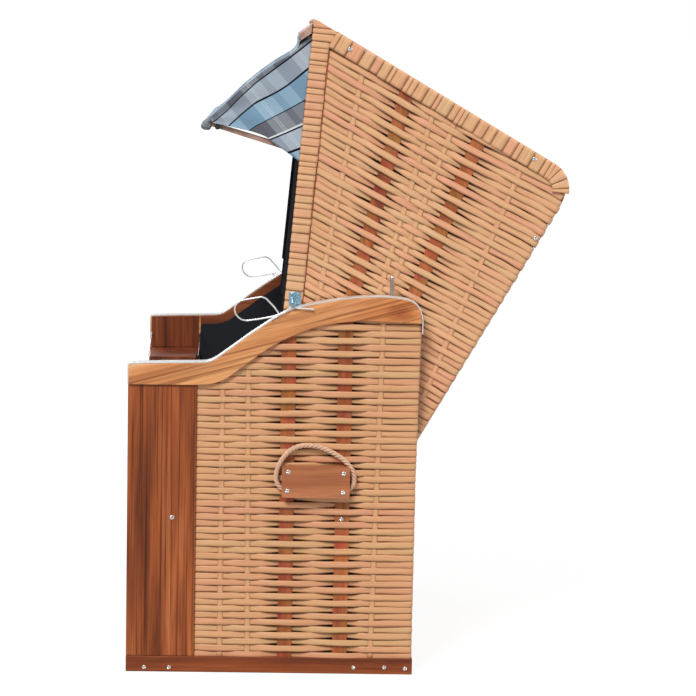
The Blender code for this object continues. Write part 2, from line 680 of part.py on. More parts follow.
# --------------------------------------------------------------------- levers
LOOP = [(0.3660, 1.0228), (0.3538, 1.0273), (0.3415, 1.0255), (0.3173, 1.0205),
        (0.3003, 1.0170), (0.2897, 1.0107), (0.2837, 1.0014), (0.2825, 0.9907),
        (0.2856, 0.9800), (0.2935, 0.9707), (0.3026, 0.9650), (0.3149, 0.9632),
        (0.3333, 0.9659), (0.3640, 0.9710), (0.3900, 0.9770), (0.4010, 0.9815),
        (0.3970, 0.9880), (0.3881, 1.0000)]


def build_lever(side, hood_pivot):
    tag = mirrored(side)
    by, bz = upright(BOLT_D, BOLT_Z)
    pivot = empty("lever_pivot_" + tag, (0.0, by, bz), radians(RECLINE), hood_pivot)
    x = LEVER_X * side

    def at(d, z):
        return (x, d - BOLT_D, z - BOLT_Z)

    eye = rod((x - 0.0021, 0, 0), (x + 0.0021, 0, 0), 0.0082, 20)
    neck = tube([at(d, z) for d, z in ((0.4325, 1.0035), (0.4248, 0.9935), (0.4159, 0.9868),
                                       (0.3985, 0.9812))], WIRE_R)
    loop = tube([at(d, z) for d, z in LOOP], WIRE_R, cyclic=True)
    prong = tube([at(0.3785, 0.9735), at(0.3838, 0.9668)], WIRE_R * 0.9)
    latch = tube([at(0.4420, 1.0030), at(0.4480, 0.9985), at(0.4700, 0.9975), at(0.4929, 0.9957)],
                 WIRE_R)
    lever = eye
    for piece in (neck, loop, prong, latch):
        lever = applied(boolean(lever, piece, 'UNION'))
    bore = rod((x - 0.01, 0, 0), (x + 0.01, 0, 0), 0.0044, 16)
    lever = applied(boolean(lever, bore, 'DIFFERENCE'))
    finish(lever, "release_lever_" + tag, STEEL, pivot)
    return pivot


# --------------------------------------------------------------------- tables
def build_table(side):
    tag = mirrored(side)
    pivot = empty("table_pivot_" + tag, (TABLE_HINGE_X * side, FRONT, TABLE_HINGE_Z))
    x0, x1 = xr(side, TABLE_HINGE_X - 0.0035 - TABLE_LEN, TABLE_HINGE_X - 0.0035)
    base_box("side_table_" + tag, x0, x1, TABLE_D0, TABLE_D1, TABLE_HINGE_Z - 0.003,
             TABLE_HINGE_Z - 0.003 + TABLE_T, FRAME_WOOD, 0.0015, pivot)
    stay = empty("stay_pivot_" + tag, (0.5425 * side, FRONT, STAY_Z))
    reach, drop = 0.1955, 0.0485
    d0, d1 = TABLE_D0 - 0.005, TABLE_D1 + 0.006
    r = 0.003
    wire = [(-reach * side, d0, -drop), (-r * side, d0, -r * 0.3), (0.0, d0 + r, 0.0),
            (0.0, d1 - r, 0.0), (-r * side, d1, -r * 0.3), (-reach * side, d1, -drop)]
    bail = tube(wire, 0.0019)
    finish(bail, "table_stay_" + tag, STEEL, stay, smooth=True)


# ------------------------------------------------------------------ footrests
def build_footrest(side):
    tag = mirrored(side)
    pivot = empty("footrest_slide_" + tag, (0.0, FRONT, 0.0))
    x0, x1 = xr(side, FOOT_X0, FOOT_X1)
    body = raw_box(x0, x1, FOOT_D0, FOOT_D1, 0.0, FOOT_TOP)
    hollow = raw_box(x0 + 0.015, x1 - 0.015, FOOT_D0 + 0.018, FOOT_D1 - 0.015, -0.02, FOOT_TOP - 0.015)
    boolean(body, hollow, 'DIFFERENCE')
    applied(body)
    mid = (x0 + x1) / 2
    slot = side_slot(mid, 0.190, 0.055, 0.015)
    boolean(body, slot, 'DIFFERENCE')
    applied(body)
    finish(body, "footrest_box_" + tag, FRAME_WOOD, pivot)
    pad = raw_box(x0 + 0.004, x1 - 0.004, FOOT_D0 + 0.004, FOOT_D1 - 0.025, FOOT_TOP + GAP, 0.330)
    soften(pad, 0.014, 2)
    finish(pad, "footrest_cushion_" + tag, PLAID, pivot)


def side_slot(x, z, half, radius):
    """A rounded finger slot through the footrest's front panel."""
    curve = bpy.data.curves.new("slot", 'CURVE')
    curve.dimensions = '2D'
    curve.fill_mode = 'BOTH'
    curve.extrude = 0.03
    pts = arc(half - radius, 0, radius, -90, 90, 6) + arc(-(half - radius), 0, radius, 90, 270, 6)
    spline = curve.splines.new('POLY')
    spline.points.add(len(pts) - 1)
    for point, (a, b) in zip(spline.points, pts):
        point.co = (a, b, 0.0, 1.0)
    spline.use_cyclic_u = True
    obj = bpy.data.objects.new("slot", curve)
    obj.rotation_euler = (pi / 2, 0.0, 0.0)
    obj.location = (x, FOOT_D0 + 0.009, z)
    bpy.context.scene.collection.objects.link(obj)
    bpy.context.view_layer.update()
    return weld_curve(obj)


build_base()
hood = build_hood()
build_awning(hood)
for hand in (1, -1):
    build_lever(hand, hood)
    build_table(hand)
    build_footrest(hand)
bpy.context.view_layer.update()
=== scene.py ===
"""Looks for the hooded beach chair: woven cane modelled strand by strand, oiled
wood, polished steel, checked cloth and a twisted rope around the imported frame.

Metres, the frame's own axes. Depths are from the base's front edge, as in the
solids, and FRONT moves them to the frame's Y. "Hood frame" means the hood's
own upright axes about its pivot; the frame stands with it leaned back 30.
"""
from math import atan2, cos, exp, hypot, pi, radians, sin, sqrt

import bmesh
import bpy
import numpy as np
from mathutils import Matrix, Vector


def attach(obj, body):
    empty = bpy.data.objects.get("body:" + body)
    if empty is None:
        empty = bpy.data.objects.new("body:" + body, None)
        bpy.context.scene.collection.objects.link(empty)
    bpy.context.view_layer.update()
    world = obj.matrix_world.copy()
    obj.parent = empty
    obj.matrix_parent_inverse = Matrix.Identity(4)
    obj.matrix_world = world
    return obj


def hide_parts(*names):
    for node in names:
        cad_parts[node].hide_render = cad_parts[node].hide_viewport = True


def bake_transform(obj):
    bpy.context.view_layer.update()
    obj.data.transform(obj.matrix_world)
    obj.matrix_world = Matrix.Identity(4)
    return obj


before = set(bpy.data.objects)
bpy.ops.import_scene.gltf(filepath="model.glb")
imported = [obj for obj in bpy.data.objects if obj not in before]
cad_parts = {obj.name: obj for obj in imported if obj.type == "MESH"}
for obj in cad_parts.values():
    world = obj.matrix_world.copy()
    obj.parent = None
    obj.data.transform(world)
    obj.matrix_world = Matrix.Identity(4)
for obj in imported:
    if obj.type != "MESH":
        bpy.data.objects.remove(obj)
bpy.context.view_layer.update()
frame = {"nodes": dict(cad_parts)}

FRONT = -0.5852
PIVOT_D, PIVOT_Z = 0.540, 0.700
LEAN = radians(30.0)
CA, SA = cos(LEAN), sin(LEAN)
ROOF_Z, BACK_Y, CORNER_R = 0.8928, 0.2466, 0.080
EDGE_TOP_Y, EDGE_SLOPE, HOOD_BOTTOM = -0.5800, 0.4656, -0.100
REAR_TOP = 0.515
EYE = np.eye(3)

ARM_TOP = [(0.0000, 0.8437), (0.0600, 0.8462), (0.1300, 0.8482), (0.1950, 0.8498),
           (0.2180, 0.8530), (0.2360, 0.8625), (0.2600, 0.8800), (0.2900, 0.9020),
           (0.3200, 0.9245), (0.3500, 0.9453), (0.3800, 0.9655), (0.4080, 0.9830),
           (0.4330, 0.9950), (0.4560, 1.0025), (0.4950, 1.0115), (0.5357, 1.0195),
           (0.5808, 1.0270), (0.6259, 1.0315), (0.6600, 1.0330), (0.6943, 1.0328),
           (0.7218, 1.0300), (0.7496, 1.0245), (0.7650, 1.0165), (0.7755, 1.0060),
           (0.7820, 0.9930), (0.7850, 0.9790), (0.7857, 0.9606)]
ARM_LOW = [(0.0000, 0.7851), (0.1772, 0.7858), (0.2200, 0.7895), (0.2490, 0.7980),
           (0.2644, 0.8058), (0.2855, 0.8213), (0.3158, 0.8440), (0.3553, 0.8745),
           (0.3850, 0.8940), (0.4125, 0.9095), (0.4585, 0.9312), (0.5040, 0.9475),
           (0.5369, 0.9550), (0.5821, 0.9616), (0.6273, 0.9650), (0.6699, 0.9645),
           (0.7206, 0.9625), (0.7857, 0.9603)]


def hood(points):
    """Hood-frame points, an (n, 3) array, to the frame's axes."""
    p = np.atleast_2d(np.asarray(points, float))
    return np.stack([p[:, 0], FRONT + PIVOT_D + p[:, 1] * CA + p[:, 2] * SA,
                     PIVOT_Z - p[:, 1] * SA + p[:, 2] * CA], 1)


def hood_dir(vectors):
    v = np.atleast_2d(np.asarray(vectors, float))
    return np.stack([v[:, 0], v[:, 1] * CA + v[:, 2] * SA, -v[:, 1] * SA + v[:, 2] * CA], 1)


def upright(d, z):
    dy, dz = d - PIVOT_D, z - PIVOT_Z
    return dy * CA - dz * SA, dy * SA + dz * CA


def edge_y(z):
    return EDGE_TOP_Y + (ROOF_Z - z) * EDGE_SLOPE


# ------------------------------------------------------------ camera and light
def make_camera():
    """The photograph's camera: on the sitter's left, a little above the roof."""
    yaw, pitch, roll = radians(1.5565), radians(7.155), radians(1.1)
    forward = Vector((-cos(yaw) * cos(pitch), sin(yaw) * cos(pitch), -sin(pitch)))
    right = forward.cross(Vector((0, 0, 1))).normalized()
    up = right.cross(forward)
    r = right * cos(roll) + up * sin(roll)
    u = up * cos(roll) - right * sin(roll)
    data = bpy.data.cameras.new("camera")
    data.sensor_fit = 'HORIZONTAL'
    data.sensor_width = 36.0
    data.lens = 36.0 * 2523.0 / 696.0
    data.clip_end = 200.0
    cam = bpy.data.objects.new("camera", data)
    m = Matrix((r, u, -forward)).transposed().to_4x4()
    m.translation = Vector((7.28, 0.4047 + FRONT, 1.7328))
    cam.matrix_world = m
    bpy.context.scene.collection.objects.link(cam)
    bpy.context.scene.camera = cam


def area_light(name, at, target, size, power, colour=(1, 1, 1)):
    data = bpy.data.lights.new(name, 'AREA')
    data.shape = 'DISK'
    data.size = size
    data.energy = power
    data.color = colour
    lamp = bpy.data.objects.new(name, data)
    lamp.location = at
    lamp.rotation_mode = 'QUATERNION'
    lamp.rotation_quaternion = (Vector(target) - Vector(at)).to_track_quat('-Z', 'Y')
    bpy.context.scene.collection.objects.link(lamp)


def make_light():
    """A white backdrop behind softer, dimmer studio light, and one soft sun."""
    scene = bpy.context.scene
    scene.view_settings.view_transform = 'Standard'
    scene.view_settings.look = 'None'
    world = bpy.data.worlds.new("studio")
    world.use_nodes = True
    tree = world.node_tree
    back = tree.nodes["Background"]
    ray = tree.nodes.new("ShaderNodeLightPath")
    level = tree.nodes.new("ShaderNodeMapRange")
    level.inputs["To Min"].default_value = AMBIENT
    level.inputs["To Max"].default_value = 1.0
    tree.links.new(ray.outputs["Is Camera Ray"], level.inputs["Value"])
    tree.links.new(level.outputs["Result"], back.inputs["Strength"])
    back.inputs["Color"].default_value = (1.0, 1.0, 1.0, 1.0)
    scene.world = world
    data = bpy.data.lights.new("sun", 'SUN')
    data.energy = 2.7
    data.angle = radians(20)
    data.color = (1.0, 0.985, 0.965)
    sun = bpy.data.objects.new("sun", data)
    sun.rotation_mode = 'QUATERNION'
    sun.rotation_quaternion = Vector((-0.60, 0.30, -0.74)).to_track_quat('-Z', 'Y')
    bpy.context.scene.collection.objects.link(sun)
    area_light("far_fill", (-3.8, -2.0, 3.0), (0.0, 0.0, 0.9), 2.2, 60.0, (0.98, 0.99, 1.0))
    area_light("rear_fill", (0.8, 4.6, 3.0), (0.0, 0.2, 0.9), 2.2, 70.0)


AMBIENT = 0.50


# ----------------------------------------------------------------- node helpers
class Nodes:
    """A short way to write a material's node tree."""

    def __init__(self, name, diffuse=(0.5, 0.5, 0.5)):
        self.mat = bpy.data.materials.new(name)
        self.mat.use_nodes = True
        self.mat.diffuse_color = (*diffuse, 1.0)
        self.tree = self.mat.node_tree
        self.shader = self.tree.nodes["Principled BSDF"]

    def new(self, kind, **values):
        node = self.tree.nodes.new(kind)
        for key, value in values.items():
            setattr(node, key, value)
        return node

    def link(self, a, b):
        self.tree.links.new(a, b)

    def feed(self, socket, value):
        if isinstance(value, bpy.types.NodeSocket):
            self.link(value, socket)
        elif isinstance(value, (tuple, list)) and socket.type == 'RGBA' and len(value) == 3:
            socket.default_value = (*value, 1.0)
        else:
            socket.default_value = value

    def attribute(self, name, output="Vector"):
        return self.new("ShaderNodeAttribute", attribute_name=name, attribute_type='GEOMETRY').outputs[output]

    def place(self):
        return self.new("ShaderNodeTexCoord").outputs["Object"]

    def scaled(self, vector, scale, offset=(0, 0, 0), turn=(0, 0, 0)):
        node = self.new("ShaderNodeMapping")
        self.feed(node.inputs["Vector"], vector)
        node.inputs["Scale"].default_value = scale
        node.inputs["Location"].default_value = offset
        node.inputs["Rotation"].default_value = turn
        return node.outputs["Vector"]

    def noise(self, vector, scale=1.0, detail=3.0, rough=0.5, distortion=0.0, output="Fac"):
        node = self.new("ShaderNodeTexNoise")
        self.feed(node.inputs["Vector"], vector)
        node.inputs["Scale"].default_value = scale
        node.inputs["Detail"].default_value = detail
        node.inputs["Roughness"].default_value = rough
        node.inputs["Distortion"].default_value = distortion
        return node.outputs[output]

    def math(self, operation, a, b=0.0, c=None, clamp=False):
        node = self.new("ShaderNodeMath", operation=operation, use_clamp=clamp)
        self.feed(node.inputs[0], a)
        self.feed(node.inputs[1], b)
        if c is not None:
            self.feed(node.inputs[2], c)
        return node.outputs[0]

    def mix(self, fac, a, b, blend='MIX'):
        node = self.new("ShaderNodeMix", data_type='RGBA', blend_type=blend)
        self.feed(node.inputs["Factor"], fac)
        self.feed(node.inputs["A"], a)
        self.feed(node.inputs["B"], b)
        return node.outputs["Result"]

    def ramp(self, fac, stops, kind='LINEAR'):
        node = self.new("ShaderNodeValToRGB")
        self.feed(node.inputs["Fac"], fac)
        node.color_ramp.interpolation = kind
        points = node.color_ramp.elements
        while len(points) < len(stops):
            points.new(0.5)
        for point, (at, colour) in zip(points, stops):
            point.position = at
            point.color = (*colour, 1.0)
        return node.outputs["Color"]

    def split(self, vector):
        node = self.new("ShaderNodeSeparateXYZ")
        self.feed(node.inputs[0], vector)
        return node.outputs

    def join(self, x, y, z):
        node = self.new("ShaderNodeCombineXYZ")
        for socket, value in zip(node.inputs, (x, y, z)):
            self.feed(socket, value)
        return node.outputs[0]

    def bump(self, height, strength, distance=0.001, under=None):
        node = self.new("ShaderNodeBump")
        self.feed(node.inputs["Height"], height)
        node.inputs["Strength"].default_value = strength
        node.inputs["Distance"].default_value = distance
        if under is not None:
            self.link(under, node.inputs["Normal"])
        return node.outputs["Normal"]

    def finish(self, colour, rough, normal=None, **sockets):
        self.feed(self.shader.inputs["Base Color"], colour)
        self.feed(self.shader.inputs["Roughness"], rough)
        if normal is not None:
            self.link(normal, self.shader.inputs["Normal"])
        for name, value in sockets.items():
            self.feed(self.shader.inputs[name.replace("_", " ")], value)
        return self.mat


def cane_material(name, low, mid, high, edge):
    """Smooth plastic cane. grain is (metres along, -1 to 1 across, seed) and
    tone is one number a strand. edge is painted shade: the strands darken to it
    towards their long edges, for the creases between rows."""
    n = Nodes(name, mid)
    grain = n.attribute("grain")
    tone = n.attribute("tone", "Fac")
    parts = n.split(grain)
    own = n.join(n.math('MULTIPLY', parts[0], 3.2), n.math('MULTIPLY', parts[1], 0.35),
                 n.math('MULTIPLY', parts[2], 7.31))
    drift = n.noise(own, 1.0, 2.0, 0.5)
    base = n.ramp(n.math('ADD', n.math('MULTIPLY', drift, 0.55), n.math('MULTIPLY', tone, 0.62)),
                  [(0.22, low), (0.58, mid), (0.95, high)])
    fine = n.join(n.math('MULTIPLY', parts[0], 9.0), n.math('MULTIPLY', parts[1], 5.5),
                  n.math('MULTIPLY', parts[2], 3.17))
    lines = n.noise(fine, 1.0, 3.0, 0.62)
    streak = n.ramp(lines, [(0.30, (0.74, 0.67, 0.60)), (0.50, (0.98, 0.97, 0.96)), (0.72, (1.10, 1.10, 1.10))])
    colour = n.mix(0.90, base, streak, 'MULTIPLY')
    # painted shade: towards each strand's long edges the colour goes to the edge brown, for the shade in the creases
    # between rows
    away = n.math('POWER', n.math('ABSOLUTE', parts[1]), 3.2)
    colour = n.mix(n.math('MULTIPLY', away, 0.80), colour, edge)
    rough = n.math('MULTIPLY_ADD', lines, 0.16, 0.38)
    normal = n.bump(lines, 0.38, 0.0007)
    return n.finish(colour, rough, normal, Specular_IOR_Level=0.46)


def wood_material(name, axis, dark, mid, light, seed=0.0, rough=0.42, streak=1.0, tilt=0.0, knots=False,
                  figure=1.0, patchy=0.0, sharp=1.0, lines=0.0, wavy=0.10, knot_at=None):
    """Oiled timber with its grain along one of the frame's axes."""
    n = Nodes(name, mid)
    place = n.place()
    turn = [0.0, 0.0, 0.0]
    if tilt:
        turn[0] = radians(tilt)
    place = n.scaled(place, (1, 1, 1), (seed, seed * 0.37, seed * 1.7), turn)
    long, wide = 1.1, 19.0
    scale = [wide, wide, wide]
    scale[axis] = long
    warp = n.noise(n.scaled(place, [4.0 if i != axis else 1.3 for i in range(3)]), 1.0, 2.0, 0.5, output="Color")
    bend = n.mix(wavy, place, warp, 'ADD')
    if knots:
        spots = n.new("ShaderNodeTexVoronoi")
        spots.inputs["Scale"].default_value = 3.3
        n.feed(spots.inputs["Vector"], place)
        ring = n.math('SUBTRACT', 1.0, n.math('MULTIPLY', spots.outputs["Distance"], 9.0), clamp=True)
        ring = n.math('POWER', ring, 2.0)
        bend = n.mix(n.math('MULTIPLY', ring, 0.10), bend, spots.outputs["Color"], 'ADD')
    broad = n.noise(n.scaled(bend, scale), 1.0, 4.0, 0.55, 0.35)
    colour = n.ramp(broad, [(0.50 - 0.20 / sharp, dark), (0.50, mid), (0.50 + 0.20 / sharp, light)])
    if knot_at:
        # a knot, and redder wood round it: how near the point is to knot_at
        away = n.new("ShaderNodeVectorMath", operation='DISTANCE')
        n.feed(away.inputs[0], n.scaled(n.place(), (0.0, 1.0, 1.6)))
        away.inputs[1].default_value = (0.0, knot_at[0], knot_at[1] * 1.6)
        blot = n.noise(n.scaled(n.place(), (20.0, 20.0, 60.0)), 1.0, 3.0, 0.6)
        near = n.math('ADD', away.outputs["Value"], n.math('MULTIPLY', n.math('SUBTRACT', blot, 0.5), 0.05))
        red = n.ramp(near, [(0.012, (0.55, 0.34, 0.25)), (0.045, (0.90, 0.72, 0.58)), (0.150, (1.0, 1.0, 1.0))])
        colour = n.mix(1.0, colour, red, 'MULTIPLY')
    scale = [85.0 * figure] * 3
    scale[axis] = 2.6
    fibre = n.noise(n.scaled(bend, scale), 1.0, 4.0, 0.6)
    colour = n.mix(0.62 * streak, colour,
                   n.ramp(fibre, [(0.30, (0.55, 0.46, 0.40)), (0.50, (0.98, 0.97, 0.96)), (0.75, (1.18, 1.14, 1.08))]),
                   'MULTIPLY')
    if lines:
        # dark late-wood lines that run nearly the whole length
        scale = [150.0] * 3
        scale[axis] = 0.9
        grown = n.noise(n.scaled(place, scale), 1.0, 3.0, 0.55, 0.2)
        colour = n.mix(lines, colour, n.ramp(grown, [(0.36, (0.42, 0.33, 0.28)), (0.47, (0.97, 0.96, 0.95)),
                                                     (0.60, (1.05, 1.03, 1.0)), (0.72, (1.30, 1.22, 1.12))]), 'MULTIPLY')
    scale = [420.0] * 3
    scale[axis] = 9.0
    pores = n.noise(n.scaled(place, scale), 1.0, 2.0, 0.6)
    colour = n.mix(0.35, colour, n.ramp(pores, [(0.34, (0.45, 0.38, 0.34)), (0.44, (1, 1, 1)), (1.0, (1, 1, 1))]),
                   'MULTIPLY')
    if knots:
        colour = n.mix(n.math('MULTIPLY', ring, 0.8), colour, [c * 0.45 for c in dark])
    if patchy:
        patch = n.noise(place, 21.0, 1.0, 0.4, output="Color")
        patch = n.split(patch)
        colour = n.mix(patchy, colour, n.join(n.math('MULTIPLY_ADD', patch[0], 1.3, 0.36),
                                              n.math('MULTIPLY_ADD', patch[1], 2.6, -0.28),
                                              n.math('MULTIPLY_ADD', patch[2], 1.2, 0.35)), 'MULTIPLY')
    normal = n.bump(pores, 0.22, 0.0005, n.bump(fibre, 0.16, 0.0008))
    return n.finish(colour, n.math('MULTIPLY_ADD', fibre, -0.18, rough + 0.09), normal, Specular_IOR_Level=0.32)


def lining_material():
    n = Nodes("lining_cloth", (0.012, 0.013, 0.018))
    place = n.place()
    threads = n.noise(n.scaled(place, (1, 1, 1)), 900.0, 1.0, 0.5)
    soft = n.noise(place, 3.0, 3.0, 0.5)
    colour = n.mix(soft, (0.0075, 0.0085, 0.012), (0.017, 0.018, 0.023))
    return n.finish(colour, 0.9, n.bump(threads, 0.35, 0.0006), Specular_IOR_Level=0.25)


def steel_material(name, colour=(0.83, 0.84, 0.85), rough=0.16, along=1, metal=1.0):
    n = Nodes(name, colour)
    scale = [300.0] * 3
    scale[along] = 6.0
    lines = n.noise(n.scaled(n.place(), scale), 1.0, 2.0, 0.6)
    soft = n.noise(n.place(), 22.0, 3.0, 0.6)
    tint = n.mix(n.math('MULTIPLY', soft, 0.25), colour, [c * 0.72 for c in colour])
    return n.finish(tint, n.math('MULTIPLY_ADD', lines, 0.14, rough - 0.05), n.bump(lines, 0.05, 0.0003), Metallic=metal)


def rope_material():
    n = Nodes("rope_fibre", (0.40, 0.27, 0.17))
    grain = n.split(n.attribute("grain"))
    own = n.join(n.math('MULTIPLY', grain[0], 90.0), n.math('MULTIPLY', grain[1], 7.0), grain[2])
    fibre = n.noise(own, 1.0, 4.0, 0.65)
    patch = n.noise(n.place(), 60.0, 3.0, 0.6)
    colour = n.ramp(fibre, [(0.30, (0.44, 0.25, 0.155)), (0.5, (0.74, 0.47, 0.31)), (0.70, (0.88, 0.66, 0.48))])
    colour = n.mix(n.math('MULTIPLY', patch, 0.35), colour, (0.42, 0.24, 0.18))
    return n.finish(colour, 0.85, n.bump(fibre, 0.7, 0.0012), Specular_IOR_Level=0.2)


LILAC, SKY, SLATE = (0.330, 0.390, 0.465), (0.190, 0.370, 0.510), (0.105, 0.104, 0.116)
INK, PALE = (0.0015, 0.004, 0.010), (0.74, 0.79, 0.80)
BAND = 0.0533


def check_material():
    """Woven check. cloth is (metres along the weft, metres along the warp)."""
    n = Nodes("check_cloth", (0.36, 0.43, 0.50))
    cloth = n.split(n.attribute("cloth"))

    def bands(value, stops, shift):
        turns = n.math('FRACT', n.math('MULTIPLY_ADD', value, 1.0 / (3 * BAND), shift))
        return n.ramp(turns, stops, 'CONSTANT')

    off, on = (0.0, 0.0, 0.0), (1.0, 1.0, 1.0)
    warp = bands(cloth[1], [(0.0, LILAC), (0.337, SKY), (0.724, SLATE)], 0.0)
    weft = bands(cloth[0], [(0.0, (0.17, 0.19, 0.26)), (0.10, (0.52, 0.59, 0.67)), (0.44, (0.26, 0.30, 0.38)),
                            (0.56, (0.42, 0.49, 0.58)), (0.78, (0.13, 0.14, 0.20))], 0.30)
    colour = n.mix(0.32, warp, weft)
    pairs = bands(cloth[0], [(0.0, off), (0.230, on), (0.238, off), (0.262, on), (0.270, off)], 0.30)
    colour = n.mix(n.math('MULTIPLY', pairs, 0.60), colour, PALE)
    heavy = bands(cloth[1], [(0.0, on), (0.026, off), (0.324, on), (0.356, off), (0.718, on), (0.733, off)], 0.0)
    colour = n.mix(heavy, colour, INK)
    band = n.math('COMPARE', n.math('MULTIPLY', cloth[1], 1.0 / BAND), 2.955, 0.045)
    colour = n.mix(n.math('MULTIPLY', band, 0.85), colour, PALE)
    place = n.join(cloth[0], cloth[1], 0.0)
    thread = n.noise(n.scaled(place, (1500.0, 500.0, 1.0)), 1.0, 1.0, 0.5)
    cross = n.noise(n.scaled(place, (500.0, 1500.0, 1.0)), 1.0, 1.0, 0.5)
    weave = n.math('ADD', n.math('MULTIPLY', thread, 0.5), n.math('MULTIPLY', cross, 0.5))
    colour = n.mix(0.55, colour, n.ramp(weave, [(0.36, (0.70, 0.71, 0.73)), (0.62, (1.14, 1.13, 1.12))]), 'MULTIPLY')
    soft = n.noise(n.scaled(place, (9.0, 9.0, 1.0)), 1.0, 3.0, 0.55)
    colour = n.mix(0.35, colour, n.ramp(soft, [(0.3, (0.84, 0.85, 0.87)), (0.7, (1.08, 1.08, 1.07))]), 'MULTIPLY')
    n.shader.inputs["Sheen Weight"].default_value = 0.03
    n.shader.inputs["Sheen Roughness"].default_value = 0.5
    return n.finish(colour, 0.88, n.bump(weave, 0.3, 0.0005), Specular_IOR_Level=0.2)


def floor_material():
    """White to look at, with only a trace of shadow; a grey floor to the rest."""
    n = Nodes("floor", (0.9, 0.9, 0.9))
    n.finish((0.45, 0.45, 0.45), 0.95, Specular_IOR_Level=0.0)
    glow = n.new("ShaderNodeEmission")
    glow.inputs["Color"].default_value = (1.0, 1.0, 1.0, 1.0)
    glow.inputs["Strength"].default_value = 0.90
    pale = n.new("ShaderNodeBsdfDiffuse")
    pale.inputs["Color"].default_value = (0.13, 0.13, 0.13, 1.0)
    both_ways = n.new("ShaderNodeAddShader")
    n.link(glow.outputs[0], both_ways.inputs[0])
    n.link(pale.outputs[0], both_ways.inputs[1])
    choice = n.new("ShaderNodeMixShader")
    ray = n.new("ShaderNodeLightPath")
    n.link(ray.outputs["Is Camera Ray"], choice.inputs[0])
    n.link(n.shader.outputs[0], choice.inputs[1])
    n.link(both_ways.outputs[0], choice.inputs[2])
    n.link(choice.outputs[0], n.tree.nodes["Material Output"].inputs["Surface"])
    return n.mat


# ---------------------------------------------------------------- mesh helpers
OCTAGON = [(0, 1, 2, 3), (0, 3, 4, 7), (4, 5, 6, 7)]


class Bundle:
    """Swept strands gathered into one mesh of quads."""

    def __init__(self):
        self.verts, self.quads, self.grain, self.tone = [], [], [], []
        self.count = 0

    def sweep(self, path, across, out, width, thick, tone, seed, power=2.7, start=0.0, closed=False):
        k = 8
        path = np.asarray(path, float)
        m = len(path)
        across = np.broadcast_to(np.asarray(across, float), (m, 3))
        out = np.broadcast_to(np.asarray(out, float), (m, 3))
        width = np.broadcast_to(np.asarray(width, float), (m,))
        thick = np.broadcast_to(np.asarray(thick, float), (m,))
        angle = (np.arange(k) + 0.5) / k * 2 * pi
        c, s = np.cos(angle), np.sin(angle)
        ex = np.sign(c) * np.abs(c) ** (2 / power)
        ey = np.sign(s) * np.abs(s) ** (2 / power)
        rings = (path[:, None, :] + across[:, None, :] * (width[:, None] * ex[None, :])[:, :, None]
                 + out[:, None, :] * (thick[:, None] * ey[None, :])[:, :, None])
        along = start + np.concatenate([[0.0], np.cumsum(np.linalg.norm(np.diff(path, axis=0), axis=1))])
        grain = np.stack([np.repeat(along, k), np.tile(ex, m), np.full(m * k, float(seed))], 1)
        i = np.arange(m if closed else m - 1)[:, None]
        j = np.arange(k)[None, :]
        after = (i + 1) % m
        quads = np.stack([i * k + j, i * k + (j + 1) % k, after * k + (j + 1) % k, after * k + j], 2).reshape(-1, 4)
        mid = m // 2
        way = path[min(mid + 1, m - 1)] - path[mid - 1]
        if np.dot(way, np.cross(across[mid], out[mid])) < 0:
            quads = quads[:, ::-1]
            first, last = np.array(OCTAGON), np.array(OCTAGON)[:, ::-1]
        else:
            first, last = np.array(OCTAGON)[:, ::-1], np.array(OCTAGON)
        if not closed:
            quads = np.concatenate([quads, first, last + (m - 1) * k])
        self.verts.append(rings.reshape(-1, 3))
        self.quads.append(quads + self.count)
        self.grain.append(grain)
        self.tone.append(np.full(m * k, float(tone)))
        self.count += m * k

    def piece(self, name, mat, body, smooth=True):
        return quad_piece(name, np.concatenate(self.verts), np.concatenate(self.quads), mat, body,
                          np.concatenate(self.grain), np.concatenate(self.tone), smooth)


def quad_piece(name, verts, quads, mat, body, grain=None, tone=None, smooth=True):
    mesh = bpy.data.meshes.new(name)
    mesh.vertices.add(len(verts))
    mesh.vertices.foreach_set("co", np.ascontiguousarray(verts, np.float32).ravel())
    mesh.loops.add(len(quads) * 4)
    mesh.loops.foreach_set("vertex_index", np.ascontiguousarray(quads, np.int32).ravel())
    mesh.polygons.add(len(quads))
    mesh.polygons.foreach_set("loop_start", np.arange(0, len(quads) * 4, 4, dtype=np.int32))
    mesh.update(calc_edges=True)
    if grain is not None:
        mesh.attributes.new("grain", 'FLOAT_VECTOR', 'POINT').data.foreach_set(
            "vector", np.ascontiguousarray(grain, np.float32).ravel())
    if tone is not None:
        mesh.attributes.new("tone", 'FLOAT', 'POINT').data.foreach_set(
            "value", np.ascontiguousarray(tone, np.float32))
    mesh.polygons.foreach_set("use_smooth", np.full(len(quads), smooth))
    mesh.materials.append(mat)
    mesh.validate()
    return place_piece(name, mesh, body)


def place_piece(name, mesh, body):
    obj = bpy.data.objects.new(name, mesh)
    bpy.context.scene.collection.objects.link(obj)
    if body:
        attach(obj, body)
    return obj


def bm_piece(name, bm, mat, body, smooth_angle=None):
    mesh = bpy.data.meshes.new(name)
    bm.to_mesh(mesh)
    bm.free()
    mesh.materials.append(mat)
    obj = place_piece(name, mesh, body)
    if smooth_angle is not None:
        mesh.shade_smooth()
        mesh.set_sharp_from_angle(angle=radians(smooth_angle))
    return obj


def bevel(obj, width, segments=2, angle=35):
    mod = obj.modifiers.new("edge", 'BEVEL')
    mod.width = width
    mod.segments = segments
    mod.limit_method = 'ANGLE'
    mod.angle_limit = radians(angle)
    mod.harden_normals = False
    return obj


